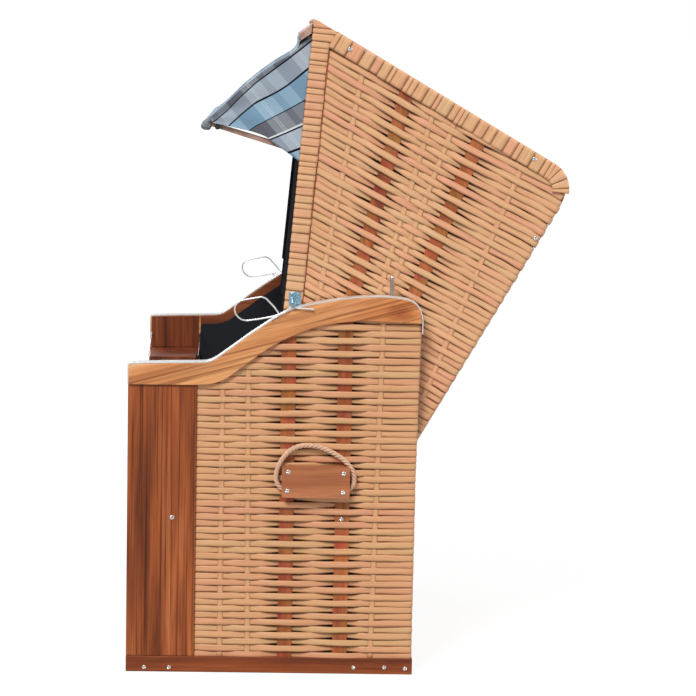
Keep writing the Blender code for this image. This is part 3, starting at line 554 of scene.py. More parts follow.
def fine_line(points, spacing):
    """Points about spacing apart on a Catmull-Rom curve through points."""
    pts = [np.array(p, float) for p in points]
    ends = [pts[0] * 2 - pts[1]] + pts + [pts[-1] * 2 - pts[-2]]
    fine = []
    for i in range(1, len(ends) - 2):
        a, b, c, d = ends[i - 1:i + 3]
        for t in np.arange(24) / 24.0:
            fine.append(0.5 * ((2 * b) + (c - a) * t + (2 * a - 5 * b + 4 * c - d) * t * t
                               + (3 * b - a - 3 * c + d) * t ** 3))
    fine.append(pts[-1])
    fine = np.array(fine)
    walked = np.concatenate([[0.0], np.cumsum(np.linalg.norm(np.diff(fine, axis=0), axis=1))])
    count = max(2, int(round(walked[-1] / spacing)))
    want = np.linspace(0, walked[-1], count + 1)
    return np.stack([np.interp(want, walked, fine[:, k]) for k in range(fine.shape[1])], 1)


def extruded(name, outline, x0, x1, mat, body, width=0.0015, to_world=None, segments=2, smooth=35):
    """A closed (depth, height) outline pushed across X, with its edges eased."""
    bm = bmesh.new()
    outline = np.asarray(outline, float)
    area = 0.5 * np.sum(outline[:, 0] * np.roll(outline[:, 1], -1) - np.roll(outline[:, 0], -1) * outline[:, 1])
    if area < 0:
        outline = outline[::-1]
    lo = [bm.verts.new((x0, FRONT + d, z)) for d, z in outline]
    hi = [bm.verts.new((x1, FRONT + d, z)) for d, z in outline]
    m = len(outline)
    bm.faces.new(lo[::-1])
    bm.faces.new(hi)
    for i in range(m):
        bm.faces.new((lo[i], lo[(i + 1) % m], hi[(i + 1) % m], hi[i]))
    if to_world is not None:
        for v in bm.verts:
            v.co = Vector(to_world(v.co))
    bmesh.ops.recalc_face_normals(bm, faces=bm.faces)
    obj = bm_piece(name, bm, mat, body, smooth)
    if width:
        bevel(obj, width, segments)
    return obj


# --------------------------------------------------------------------- weaving
rng = np.random.default_rng(20)
WIDE, THIN = 0.0200, 0.0082      # half widths of the wooden ribs and thin canes
AMP_W, AMP_T = 0.0042, 0.0016    # how far a strand stands off the middle plane
HALF_T = 0.0024                  # half a strand's thickness


def states(s, keys, values):
    """Smooth steps between keys."""
    keys, values = np.array(keys), np.array(values)
    k = np.clip(np.searchsorted(keys, s, side='right') - 1, 0, len(keys) - 2)
    t = np.clip((s - keys[k]) / np.maximum(keys[k + 1] - keys[k], 1e-9), 0, 1)
    return values[k] + (values[k + 1] - values[k]) * t * t * (3 - 2 * t)


def strand(bundle, path, across, out, columns, row, half, ends=(0.0, 0.0), wobble=1.0, pinch=0.37):
    """One woven strand. columns are (distance along, half width, wide, index)."""
    s = np.concatenate([[0.0], np.cumsum(np.linalg.norm(np.diff(path, axis=0), axis=1))])
    keys, values = [-1e-6], [ends[0]]
    narrow = np.zeros(len(s))
    for at, reach, wide, index in columns:
        over = (row + index) % 2 == 0
        amp = AMP_W if wide else AMP_T
        keys += [at - reach, at + reach]
        values += [amp if over else -amp] * 2
        if wide:
            # pulled narrow where it dives behind a wooden rib
            near = 1 - np.clip((np.abs(s - at) - reach) / 0.042, 0, 1)
            deep = rng.uniform(0.85, 1.12, 2)
            deep = np.where(s < at, deep[0], deep[1])
            narrow = np.maximum(narrow, (near ** 1.15) * (0.04 if over else pinch * deep))
    keys.append(s[-1] + 1e-6)
    values.append(ends[1])
    order = np.argsort(keys)
    off = states(s, np.array(keys)[order], np.array(values)[order])
    a, b, c, d = rng.uniform(0, 2 * pi, 4)
    wave = (0.00046 * np.sin(s * 2 * pi / 0.41 + a) + 0.00034 * np.sin(s * 2 * pi / 0.17 + b)
            + 0.00022 * np.sin(s * 2 * pi / 0.061 + d)) * wobble + rng.normal(0, 0.00035) * wobble
    breadth = half * (1 - narrow) * (1 + (0.030 * np.sin(s * 2 * pi / 0.13 + c) + rng.normal(0, 0.020)) * wobble)
    line = path + out * (off + 0.00030 * np.sin(s * 2 * pi / 0.23 + c))[:, None] + across * wave[:, None]
    bundle.sweep(line, across, out, breadth, HALF_T, np.clip(rng.normal(0.5, 0.26), 0, 1), rng.uniform(0, 100),
                 power=2.9)


def rounded_u(x, y0, y1, radius, step=0.0065, one_side=None):
    """Points and outward normals of a path that runs along +X's side from y0 to
    y1, round the corner, across, round the next and back. one_side stops it
    at that x on the rear."""
    side = np.arange(0, y1 - radius - y0, step)
    pts = [(x, y0 + t, 1.0, 0.0) for t in side]
    turn = np.linspace(0, pi / 2, 7)
    pts += [(x - radius + radius * cos(t), y1 - radius + radius * sin(t), cos(t), sin(t)) for t in turn]
    if one_side is not None:
        pts += [(v, y1, 0.0, 1.0) for v in np.arange(x - radius - step, one_side, -step)]
        pts.append((one_side, y1, 0.0, 1.0))
    else:
        rear = np.arange(x - radius - step, 0, -step)
        pts += [(v, y1, 0.0, 1.0) for v in rear]
        pts += [(0.0, y1, 0.0, 1.0)]
        pts += [(-a, b, -c, d) for a, b, c, d in pts[:-1][::-1]]
    pts = np.array(pts)
    return pts[:, :2], pts[:, 2:]


REAR_COLUMNS = [(0.475, THIN, False), (0.365, WIDE, True), (0.245, THIN, False), (0.125, WIDE, True),
                (0.0, THIN, False), (-0.125, WIDE, True), (-0.245, THIN, False), (-0.365, WIDE, True),
                (-0.475, THIN, False)]

# depth of each column on the base's side: at z = 0.12 and at z = 0.80
BASE_COLUMNS = [(0.2534, 0.2522, THIN, False), (0.3278, 0.3212, THIN, False), (0.4286, 0.4288, WIDE, True),
                (0.5785, 0.5800, WIDE, True), (0.6635, 0.6770, THIN, False)]
BASE_X, BASE_PITCH = 0.5794, 0.0180
# heights of some of the lines between rows: the line's number, its height
BASE_LINES = [(0, 0.0395), (17, 0.3457), (29, 0.5625), (40, 0.7560), (49, 0.9205), (53, 0.9940)]


def base_row(row):
    """Height of a row's middle and half its breadth."""
    numbers, heights = zip(*BASE_LINES)
    low, high = np.interp([row, row + 1.0], numbers, heights)
    return float((low + high) / 2), float((high - low) / 2)


def base_column_depth(column, z):
    return column[0] + (column[1] - column[0]) * (z - 0.12) / 0.68


def base_rear_depth(z):
    return float(np.interp(z, (0.05, 0.12, 0.53, 0.80, 0.96), (0.7735, 0.7735, 0.7745, 0.7785, 0.7818)))


def row_columns(path, side_marks, rear=True, one_side=False):
    """Distances along path of the side's marks (y of each column) and the
    rear's. path is (n, 2) x, y."""
    s = np.concatenate([[0.0], np.cumsum(np.linalg.norm(np.diff(path, axis=0), axis=1))])
    out = []
    near = path[:, 0] > 0.45
    for index, (y, reach, wide) in enumerate(side_marks):
        flat = near & (path[:, 1] < path[:, 1].max() - 0.013)
        ys, ss = path[flat, 1], s[flat]
        if len(ys) and ys[0] - 0.002 < y < ys[-1]:
            out.append((float(np.interp(y, ys, ss)), reach, wide, index))
    k = len(side_marks)
    if rear:
        back = path[:, 1] > path[:, 1].max() - 0.0005
        xs, ss = path[back, 0], s[back]
        for index, (x, reach, wide) in enumerate(REAR_COLUMNS):
            if xs.min() < x < xs.max():
                out.append((float(np.interp(-x, -xs, ss)), reach, wide, k + index))
    if not one_side:
        far = path[:, 0] < -0.45
        total = k + len(REAR_COLUMNS)
        for index, (y, reach, wide) in enumerate(side_marks[::-1]):
            flat = far & (path[:, 1] < path[:, 1].max() - 0.013)
            ys, ss = path[flat, 1], s[flat]
            if len(ys) and ys[-1] - 0.002 < y < ys[0]:
                out.append((float(np.interp(-y, -ys, ss)), reach, wide, total + index))
    return out


def weave_base(cane):
    low = np.array(ARM_LOW)
    lower, upper = Bundle(), {1: Bundle(), -1: Bundle()}
    row = 0
    while True:
        z, half = base_row(row)
        if z > 0.9720:
            break
        start = 0.1838
        if z - 0.012 > low[0, 1]:
            rising = low[:15]
            start = max(start, float(np.interp(z - 0.012, rising[:, 1], rising[:, 0])))
        y0, y1 = FRONT + start, FRONT + base_rear_depth(z)
        marks = [(FRONT + base_column_depth(c, z), c[2], c[3]) for c in BASE_COLUMNS]
        up = np.array([0.0, 0.0, 1.0])
        half *= 1.07
        if z < REAR_TOP - 0.006:
            path, normal = rounded_u(BASE_X, y0, y1, 0.008)
            pts = np.column_stack([path, np.full(len(path), z)])
            out = np.column_stack([normal, np.zeros(len(path))])
            strand(lower, pts, np.broadcast_to(up, pts.shape), out, row_columns(path, marks), row + 1, half,
                   (-0.001, -0.001))
        else:
            for side in (1, -1):
                path, normal = rounded_u(BASE_X, y0, y1, 0.008, one_side=0.549)
                cols = row_columns(path, marks, rear=False, one_side=True)
                pts = np.column_stack([path, np.full(len(path), z)]) * (side, 1, 1)
                out = np.column_stack([normal, np.zeros(len(path))]) * (side, 1, 1)
                strand(upper[side], pts, np.broadcast_to(up, pts.shape), out, cols, row + 1, half, (-0.001, 0.0))
        row += 1
    piece = lower.piece("base_weave_lower", cane, "base")
    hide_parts("base_rear_wicker")
    for side, tag in ((1, "left"), (-1, "right")):
        piece = upper[side].piece("base_weave_" + tag, cane, "base")
        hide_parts("wicker_side_" + tag)


def flat_rib(bundle, points, across, out, half, thick, seed, tone=0.5):
    bundle.sweep(points, across, out, half, thick, tone, seed, power=6.0)


def base_ribs(rib, cane):
    ribs, canes = Bundle(), Bundle()
    low = np.array(ARM_LOW)
    for side in (1, -1):
        for index, column in enumerate(BASE_COLUMNS):
            depth_top = base_column_depth(column, 0.85)
            top = float(np.interp(depth_top, low[:, 0], low[:, 1])) + 0.010
            zs = np.linspace(0.038, top, 60)
            pts = np.array([(BASE_X * side, FRONT + base_column_depth(column, z), z) for z in zs])
            out = np.array([side, 0.0, 0.0])
            across = np.array([0.0, 1.0, 0.0])
            if column[3]:
                flat_rib(ribs, pts, across, out, column[2], 0.0011, 10 * side + index)
            else:
                canes.sweep(pts, across, out, column[2], 0.0016, rng.uniform(0.3, 0.7), rng.uniform(0, 100), power=3.5)
    for index, (x, reach, wide) in enumerate(REAR_COLUMNS):
        zs = np.linspace(0.038, REAR_TOP - 0.001, 30)
        pts = np.array([(x, FRONT + base_rear_depth(z), z) for z in zs])
        out = np.array([0.0, 1.0, 0.0])
        across = np.array([1.0, 0.0, 0.0])
        if wide:
            flat_rib(ribs, pts, across, out, reach, 0.0011, 40 + index)
        else:
            canes.sweep(pts, across, out, reach, 0.0016, rng.uniform(0.3, 0.7), rng.uniform(0, 100), power=3.5)
    piece = ribs.piece("base_ribs", rib, "base", smooth=False)
    piece = canes.piece("base_canes", cane, "base")


# y of each column on the hood's side is a + b * height, in the hood's frame
HOOD_COLUMNS = [(-0.0944, -0.3645, THIN, False), (-0.0230, -0.2918, WIDE, True), (0.0336, -0.2554, THIN, False),
                (0.0341, -0.1805, THIN, False), (0.0878, -0.1511, WIDE, True), (0.2180, -0.1440, THIN, False)]
HOOD_X, HOOD_PITCH, HOOD_ROW0 = 0.5296, 0.0179, 0.8395
HOOD_MID_BACK = BACK_Y - 0.0058
BAND_IN = 0.0445                 # how far the edge bands reach onto the sides


def row_rise(y, z):
    """How far the hood's rows climb from y = -0.33, where z is their height.
    Their slope runs from one value at the front to another at the rear."""
    front = np.interp(z, (0.31, 0.47, 0.62, 0.75), (0.065, 0.051, 0.030, 0.018))
    rear = np.interp(z, (0.31, 0.47, 0.62, 0.75), (0.043, 0.046, 0.050, 0.067))
    y = np.clip(y, -0.56, 0.20)
    a, b = -0.24, 0.05

    def climb(v):
        t = np.clip(v, a, b) - a
        return front * (np.minimum(v, a) - a) + front * t + (rear - front) * t * t / (2 * (b - a)) + rear * np.maximum(v - b, 0)

    return climb(y) - climb(-0.33)


def weave_hood(cane):
    low, high = Bundle(), Bundle()
    ends = {1: Bundle(), -1: Bundle()}
    cy, cz = BACK_Y - CORNER_R, ROOF_Z - CORNER_R
    half = HOOD_PITCH * 0.548
    row = -1
    while True:
        z = HOOD_ROW0 - HOOD_PITCH * row
        if z < HOOD_BOTTOM + 0.004:
            break
        start = edge_y(z - 0.006) + 0.022
        marks = [(a + b * (z + 0.002), reach, wide) for a, b, reach, wide in HOOD_COLUMNS]
        rear = z + float(row_rise(0.2, z))
        if rear < cz + 0.004:
            path, normal = rounded_u(HOOD_X, start, HOOD_MID_BACK, 0.012)
            cols = row_columns(path, marks)
            pts = np.column_stack([path, z + row_rise(path[:, 1], z)])
            out = np.column_stack([normal, np.zeros(len(path))])
            bundle = high if row < 28 else low
            across = np.broadcast_to(hood_dir([(0, 0, 1)])[0], pts.shape)
            strand(bundle, hood(pts), across, hood_dir(out), cols, row, half, (-0.001, -0.001), 1.5)
        else:
            stop = cy + sqrt(max(1e-6, (CORNER_R - 0.006) ** 2 - (rear - cz) ** 2))
            ys = np.arange(start, stop, 0.0065)
            for side in (1, -1):
                pts = np.column_stack([np.full(len(ys), HOOD_X * side), ys, z + row_rise(ys, z)])
                cols = [(y - start, reach, wide, i) for i, (y, reach, wide) in enumerate(marks)]
                strand(ends[side], hood(pts), np.broadcast_to(hood_dir([(0, 0, 1)])[0], pts.shape),
                       np.broadcast_to(np.array([side, 0.0, 0.0]), pts.shape), cols, row, half, (-0.001, -0.001), 1.5)
        row += 1
    for bundle, name, nodes in ((high, "hood_weave_high", ["hood_back"]), (low, "hood_weave_low", []),
                                (ends[1], "hood_weave_top_left", ["hood_side_left"]),
                                (ends[-1], "hood_weave_top_right", ["hood_side_right"])):
        piece = bundle.piece(name, cane, "hood")
        if nodes:
            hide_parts(*nodes)

    # the roof and its rounded rear edge, with strands across the hood
    roof = Bundle()
    r = CORNER_R - 0.0058
    number = 1
    while HOOD_ROW0 - HOOD_PITCH * (number + 1) + float(row_rise(0.2, HOOD_ROW0 - HOOD_PITCH * (number + 1))) >= cz + 0.004:
        number += 1
    first = HOOD_ROW0 - HOOD_PITCH * number
    first += float(row_rise(0.2, first)) - cz
    arc_len = r * pi / 2
    flat_len = cy - EDGE_TOP_Y
    t = first
    row = number
    xs = np.linspace(0.512, -0.512, 158)
    while t < arc_len + flat_len - 0.006:
        if t < arc_len:
            a = t / r
            y, zz, ny, nz = cy + r * cos(a), cz + r * sin(a), cos(a), sin(a)
        else:
            y, zz, ny, nz = cy - (t - arc_len), ROOF_Z - 0.0058, 0.0, 1.0
        pts = np.column_stack([xs, np.full(len(xs), y), np.full(len(xs), zz)])
        out = hood_dir([(0, ny, nz)])[0]
        across = hood_dir([(0, -nz, ny)])[0]
        cols = [(0.512 - x, reach, wide, 6 + i) for i, (x, reach, wide) in enumerate(REAR_COLUMNS)]
        strand(roof, hood(pts), np.broadcast_to(across, pts.shape), np.broadcast_to(out, pts.shape), cols, row, half,
               (-0.0015, -0.0015))
        t += HOOD_PITCH
        row -= 1
    piece = roof.piece("hood_weave_roof", cane, "hood")
    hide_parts("hood_roof")


def hood_ribs(rib, cane):
    ribs, canes = Bundle(), Bundle()
    for side in (1, -1):
        for index, (a, b, reach, wide) in enumerate(HOOD_COLUMNS):
            zs = np.linspace(HOOD_BOTTOM + 0.002, ROOF_Z - 0.020, 60)
            line = np.array([(HOOD_X * side, a + b * z, z) for z in zs])
            line[:, 1] = np.minimum(line[:, 1], BACK_Y - 0.03)
            way = np.gradient(line, axis=0)
            way /= np.linalg.norm(way, axis=1)[:, None]
            out = np.array([side, 0.0, 0.0])
            across = np.cross(way, out)
            pts, across = hood(line), hood_dir(across)
            if wide:
                flat_rib(ribs, pts, across, out, reach * 0.95, 0.0011, 70 + 10 * side + index)
            else:
                canes.sweep(pts, across, out, reach, 0.0016, rng.uniform(0.3, 0.7), rng.uniform(0, 100), power=3.5)
        # the lath that the front band is wrapped on, and the one along the top; their dark wood also paints the shade
        # line along the bands' inner edges
        zs = np.linspace(HOOD_BOTTOM + 0.002, ROOF_Z - 0.050, 40)
        norm = hypot(1, EDGE_SLOPE)
        inset = (BAND_IN + 0.0015) * norm
        line = np.array([(0.5316 * side, edge_y(z) + inset, z) for z in zs])
        across = np.array([0.0, 1.0, EDGE_SLOPE]) / norm
        flat_rib(ribs, hood(line), hood_dir([across])[0], np.array([side, 0.0, 0.0]), 0.0017, 0.0010, 95 + side)
        ys = np.linspace(EDGE_TOP_Y + 0.07, BACK_Y - 0.075, 30)
        line = np.array([(0.5310 * side, y, ROOF_Z - BAND_IN + 0.001) for y in ys])
        flat_rib(ribs, hood(line), hood_dir([(0, 0, 1)])[0], np.array([side, 0.0, 0.0]), 0.0020, 0.0010, 98 + side)
    cy, cz = BACK_Y - CORNER_R, ROOF_Z - CORNER_R
    r = CORNER_R - 0.0058
    for index, (x, reach, wide) in enumerate(REAR_COLUMNS):
        line = [(x, HOOD_MID_BACK, z) for z in np.linspace(HOOD_BOTTOM + 0.002, cz, 30)]
        line += [(x, cy + r * cos(a), cz + r * sin(a)) for a in np.linspace(0.08, pi / 2, 14)]
        line += [(x, y, ROOF_Z - 0.0058) for y in np.linspace(cy - 0.02, EDGE_TOP_Y + 0.012, 30)]
        line = np.array(line)
        way = np.gradient(line, axis=0)
        way /= np.linalg.norm(way, axis=1)[:, None]
        out = np.cross(np.array([1.0, 0, 0]), way)
        if wide:
            flat_rib(ribs, hood(line), np.array([1.0, 0, 0]), hood_dir(out), reach, 0.0011, 60 + index)
        else:
            canes.sweep(hood(line), np.array([1.0, 0, 0]), hood_dir(out), reach, 0.0016, rng.uniform(0.3, 0.7),
                        rng.uniform(0, 100), power=3.5)
    piece = ribs.piece("hood_ribs", rib, "hood", smooth=False)
    piece = canes.piece("hood_canes", cane, "hood")


def band_widths(total, low, high):
    out, used = [], 0.0
    while used < total - low * 0.7:
        w = float(rng.uniform(low, high)) if rng.uniform() < 0.75 else float(rng.uniform(low * 0.7, low))
        w = min(w, total - used)
        out.append((used + w / 2, w / 2))
        used += w
    return out


def hood_bands(cane):
    """Cane wrapped round the hood's front edge and along its roof's sides."""
    norm = hypot(1, EDGE_SLOPE)
    inward = np.array([0.0, 1.0, EDGE_SLOPE]) / norm
    down = np.array([0.0, EDGE_SLOPE, -1.0]) / norm
    cy, cz = BACK_Y - CORNER_R, ROOF_Z - CORNER_R
    x_out, r = 0.5352, 0.0042
    for side, tag in ((1, "left"), (-1, "right")):
        bundle = Bundle()
        length = (ROOF_Z - HOOD_BOTTOM) * norm
        for at, half in band_widths(length - 0.004, 0.0150, 0.0290):
            start = np.array([0.0, EDGE_TOP_Y, ROOF_Z]) + down * (at + 0.002)
            corner = (0.0700 - EDGE_SLOPE * (at + 0.002) / norm) * norm
            reach = max(BAND_IN, corner)
            inner = 0.5145 if at < 0.105 else 0.5245
            skew = rng.normal(0, 0.012)
            pts, outs = [], []
            for q in np.linspace(reach + rng.normal(0, 0.0008), r, 7):
                pts.append((x_out - 0.0010 * (q > reach - 0.004), q, 1, 0))
            turn = np.linspace(0, pi / 2, 5)
            pts += [(x_out - r + r * cos(t), r - r * sin(t) - 0.0012 * sin(t), cos(t), sin(t)) for t in turn[1:]]
            pts += [(0.5262, -0.0010, 0.0, 1.0), (inner + 0.001, -0.0010, 0.0, 1.0), (inner, 0.0008, -0.7, 0.7)]
            line, out = [], []
            for x, q, nx, nq in pts:
                p = start + inward * q + down * skew * q
                p[0] = x * side
                line.append(p)
                out.append(np.array([nx * side, 0, 0]) - inward * nq)
            out = np.array(out)
            out /= np.linalg.norm(out, axis=1)[:, None]
            across = down - inward * skew
            bundle.sweep(hood(line), hood_dir([across])[0], hood_dir(out), half * 1.03, 0.0021,
                         np.clip(rng.normal(0.55, 0.26), 0, 1), rng.uniform(0, 100), power=3.0)
            if at < 0.07:
                # the strips at the corner end level with the roof
                rings = bundle.verts[-1]
                high = rings[:, 2] * CA + (rings[:, 1] - FRONT - PIVOT_D) * SA - PIVOT_Z * CA
                extra = np.clip(high - ROOF_Z - 0.0006, 0, None)
                bundle.verts[-1] = rings - hood_dir([(0, 0, 1)])[0] * extra[:, None]
        piece = bundle.piece("front_band_" + tag, cane, "hood")

        bundle = Bundle()
        flat = cy - EDGE_TOP_Y
        total = flat + CORNER_R * radians(72)
        for at, half in band_widths(total - 0.0675, 0.0150, 0.0400):
            at += 0.0675
            pts = [(x_out, q, 1, 0) for q in np.linspace(BAND_IN - 0.001 + rng.normal(0, 0.0008), r, 7)]
            turn = np.linspace(0, pi / 2, 5)
            pts += [(x_out - r + r * cos(t), r - r * sin(t) - 0.0010 * sin(t), cos(t), sin(t)) for t in turn[1:]]
            pts += [(x, -0.0010, 0.0, 1.0) for x in np.linspace(0.522, 0.492, 5)]
            line, out, wide = [], [], []
            for x, q, nx, nq in pts:
                if at < flat:
                    y, z, ny, nz, grow = EDGE_TOP_Y + at, ROOF_Z - q, 0.0, 1.0, 1.0
                else:
                    a = pi / 2 - (at - flat) / CORNER_R
                    ny, nz = cos(a), sin(a)
                    y, z = cy + (CORNER_R - q) * ny, cz + (CORNER_R - q) * nz
                    grow = max(0.25, (CORNER_R - q) / CORNER_R)
                line.append((x * side, y, z))
                out.append((nx * side, ny * nq, nz * nq))
                wide.append(half * 0.975 * grow)
            across = (0.0, nz, -ny)
            wide = [w * 1.05 for w in wide]
            bundle.sweep(hood(line), hood_dir([across])[0], hood_dir(out), wide, 0.0021,
                         np.clip(rng.normal(0.50, 0.26), 0, 1), rng.uniform(0, 100), power=3.0)
        piece = bundle.piece("top_band_" + tag, cane, "hood")
    # cane wrapped over the roof's front edge, behind the header
    bundle = Bundle()
    for at, half in band_widths(0.97, 0.0150, 0.0300):
        x = 0.485 - at
        pts = [(0.046, -0.0008), (0.030, -0.0004), (0.012, -0.0004), (0.0055, -0.0010), (0.0035, -0.0035),
               (0.0042, -0.012)]
        norms = [(0, 1), (0, 1), (-0.15, 0.98), (-0.6, 0.8), (-1, 0.15), (-1, -0.2)]
        line = [(x, EDGE_TOP_Y + a, ROOF_Z + b) for a, b in pts]
        out = np.array([(0.0, a, b) for a, b in norms])
        out /= np.linalg.norm(out, axis=1)[:, None]
        bundle.sweep(hood(line), np.array([1.0, 0, 0]), hood_dir(out), half * 0.975, 0.0018,
                     np.clip(rng.normal(0.5, 0.25), 0, 1), rng.uniform(0, 100), power=3.4)
    piece = bundle.piece("roof_front_band", cane, "hood")


# ------------------------------------------------------------- linings, wood
def linings(cloth):
    """The black boards inside the roof and the back, and the base's rear."""
    cy, cz = BACK_Y - CORNER_R, ROOF_Z - CORNER_R
    t0, t1 = 0.0150, 0.0200
    outer = [(BACK_Y - t0, HOOD_BOTTOM + 0.002)]
    outer += [(cy + (CORNER_R - t0) * cos(a), cz + (CORNER_R - t0) * sin(a)) for a in np.linspace(0, pi / 2, 10)]
    outer += [(EDGE_TOP_Y + 0.010, ROOF_Z - t0)]
    inner = [(BACK_Y - t1, HOOD_BOTTOM + 0.002)]
    inner += [(cy + (CORNER_R - t1) * cos(a), cz + (CORNER_R - t1) * sin(a)) for a in np.linspace(0, pi / 2, 10)]
    inner += [(EDGE_TOP_Y + 0.010, ROOF_Z - t1)]
    bm = bmesh.new()
    loops = []
    for x in (-0.5155, 0.5155):
        loops.append(([bm.verts.new(Vector(hood([(x, y, z)])[0])) for y, z in outer],
                      [bm.verts.new(Vector(hood([(x, y, z)])[0])) for y, z in inner]))
    (ao, ai), (bo, bi) = loops
    m = len(outer)
    for i in range(m - 1):
        bm.faces.new((ao[i], ao[i + 1], bo[i + 1], bo[i]))
        bm.faces.new((ai[i], bi[i], bi[i + 1], ai[i + 1]))
        bm.faces.new((ao[i], ai[i], ai[i + 1], ao[i + 1]))
        bm.faces.new((bo[i], bo[i + 1], bi[i + 1], bi[i]))
    for i in (0, m - 1):
        bm.faces.new((ao[i], bo[i], bi[i], ai[i]))
    bmesh.ops.recalc_face_normals(bm, faces=bm.faces)
    piece = bm_piece("hood_inner_lining", bm, cloth, "hood", 40)

    zs = np.linspace(0.22, 0.545, 14)
    lip = [(edge_y(z) - 0.0150, z) for z in zs] + [(edge_y(z) - 0.0015, z) for z in zs[::-1]]
    for side, tag in ((1, "left"), (-1, "right")):
        outline = [(float(q[1]) - FRONT, float(q[2])) for q in (hood([(0.0, y, z)])[0] for y, z in lip)]
        x0, x1 = sorted((0.5178 * side, 0.5226 * side))
        piece = extruded("lining_lip_" + tag, outline, x0, x1, cloth, "hood", 0.0)

    low = [p for p in ARM_LOW if 0.19 < p[0] < 0.76]
    outline = ([(0.1845, 0.0440), (0.1845, 0.7840)] + [(d, z - 0.0012) for d, z in low] + [(0.7660, 0.9590), (0.7660, 0.0440)])
    for side, tag in ((1, "left"), (-1, "right")):
        x0, x1 = (0.5719, 0.5727) if side > 0 else (-0.5727, -0.5719)
        piece = extruded("base_backing_" + tag, outline, x0, x1, cloth, "base", 0.0)

    bm = bmesh.new()
    bmesh.ops.create_cube(bm, size=1.0)
    for v in bm.verts:
        v.co = Vector((v.co.x * 1.091, FRONT + 0.7615 + v.co.y * 0.003, 0.2565 + v.co.z * 0.4265))
    piece = bm_piece("base_rear_lining", bm, cloth, "base")
    bevel(piece, 0.0008, 1)


def inner_faces(board_wood, arm_wood, cloth):
    """What is seen of each side from within: a board behind the side
    table and the armrest's inner face, both darkened as painted shade, and
    black lining under it."""
    top = fine_line(ARM_TOP[:-4], 0.0120)
    way = np.gradient(top, axis=0)
    way /= np.linalg.norm(way, axis=1)[:, None]
    left = np.stack([-way[:, 1], way[:, 0]], 1)
    high = (top - left * 0.0046)
    low = (top - left * 0.0290)
    keep_high, keep_low = high[:, 0] > 0.1530, (low[:, 0] > 0.1530) & (low[:, 0] < 0.755)
    high, low = high[keep_high], low[keep_low]
    veneer = np.concatenate([low, high[::-1]])
    strip = np.concatenate([[(0.1530, 0.600), (low[-1, 0], 0.600)], (low - (0.0, 0.0012))[::-1]])
    board = [(0.0040, 0.7460), (0.1515, 0.7460), (0.1515, 0.8440), (0.0040, 0.8398)]
    for side, tag in ((1, "left"), (-1, "right")):
        for name, outline, x0, x1, mat, kind in (
                ("front_board_", board, 0.5441, 0.5449, board_wood, "frame_wood"),
                ("armrest_inner_", veneer, 0.5437, 0.5448, arm_wood, "armrest_wood"),
                ("inner_lining_", strip, 0.5439, 0.5448, cloth, "lining")):
            lo, hi = sorted((x0 * side, x1 * side))
            piece = extruded(name + tag, outline, lo, hi, mat, "base", 0.0)


def slot_shade_boards(cloth):
    """Painted shade: a black board a hand's depth behind each footrest's finger slot, for the shade inside the box."""
    outline = [(0.0600, 0.1300), (0.0620, 0.1300), (0.0620, 0.2400), (0.0600, 0.2400)]
    for side, tag in ((1, "left"), (-1, "right")):
        lo, hi = sorted((0.1670 * side, 0.3470 * side))
        piece = extruded("slot_shade_board_" + tag, outline, lo, hi, cloth, "footrest_" + tag, 0.0)


def stays(wire):
    """Each side table hangs on two separate wires."""
    for side, tag in ((1, "left"), (-1, "right")):
        bundle = Bundle()
        for d0, d1 in ((0.0058, 0.0062), (0.1556, 0.1560)):
            line = fine_line([(0.5406 * side, FRONT + d0, 0.7920), (0.4460 * side, FRONT + (d0 + d1) / 2, 0.7685),
                              (0.3480 * side, FRONT + d1, 0.7441)], 0.008)
            way = line[-1] - line[0]
            across = np.cross(way / np.linalg.norm(way), np.array([0.0, 1.0, 0.0]))
            bundle.sweep(line, np.array([0.0, 1.0, 0.0]), across, 0.0013, 0.0013, 0.5, 1.0, power=2.0)
        piece = bundle.piece("table_wires_" + tag, wire, "stay_" + tag)
        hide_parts("table_stay_" + tag)


def header_back(wood):
    """The header's rear edge, up to the cane wrapped round the roof's front."""
    outline = [(0.4738, 1.7246), (0.4768, 1.7492), (0.4806, 1.7500), (0.4782, 1.7236)]
    piece = extruded("header_back", outline, -0.5270, 0.5270, wood, "hood", 0.0006)


def armrests(wood, steel):
    top = fine_line(ARM_TOP[:-1], 0.0055)
    low = np.array(ARM_LOW[:-1])
    low_a = low[:2]
    low_b = fine_line(low[1:], 0.009)
    for side, tag in ((1, "left"), (-1, "right")):
        way = np.gradient(top, axis=0)
        way /= np.linalg.norm(way, axis=1)[:, None]
        left = np.stack([-way[:, 1], way[:, 0]], 1)
        under = top - left * 0.0038
        under[0] = (0.0012, top[0, 1] - 0.0045)
        keep = (under[:, 0] < 0.7800) | (under[:, 1] > 0.9630)
        wood_outline = np.concatenate([[(0.0012, low_a[0, 1])], low_b[low_b[:, 0] < 0.775],
                                       [(0.7830, 0.9605)], under[keep][::-1]])
        x0, x1 = (0.545, 0.592) if side > 0 else (-0.592, -0.545)
        piece = extruded("armrest_board_" + tag, wood_outline, x0, x1, wood, "base", 0.0022, segments=3)
        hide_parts("armrest_" + tag)
        # the strip: swept flat bar, over the top and down behind
        line = np.concatenate([[(-0.0002, 0.7870), (-0.0002, 0.8100), (-0.0002, 0.8340), (0.0006, 0.8394), (0.0034, 0.8422)],
                               (top - left * 0.0018)[2:-2:2], [(0.7852, 0.9700), (0.7855, 0.9560), (0.7856, 0.9330)]])
        line = fine_line(line, 0.005)
        way = np.gradient(line, axis=0)
        way /= np.linalg.norm(way, axis=1)[:, None]
        out = np.stack([np.zeros(len(line)), -way[:, 1], way[:, 0]], 1)
        pts = np.column_stack([np.full(len(line), 0.5685 * side), FRONT + line[:, 0], line[:, 1]])
        bar = Bundle()
        bar.sweep(pts, np.array([1.0, 0, 0]), out, 0.0222, 0.0017, 0.5, 1, power=7.0)
        piece = bar.piece("polished_strip_" + tag, steel, "base")
        piece.data.set_sharp_from_angle(angle=radians(50))
        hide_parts("slide_rail_" + tag)


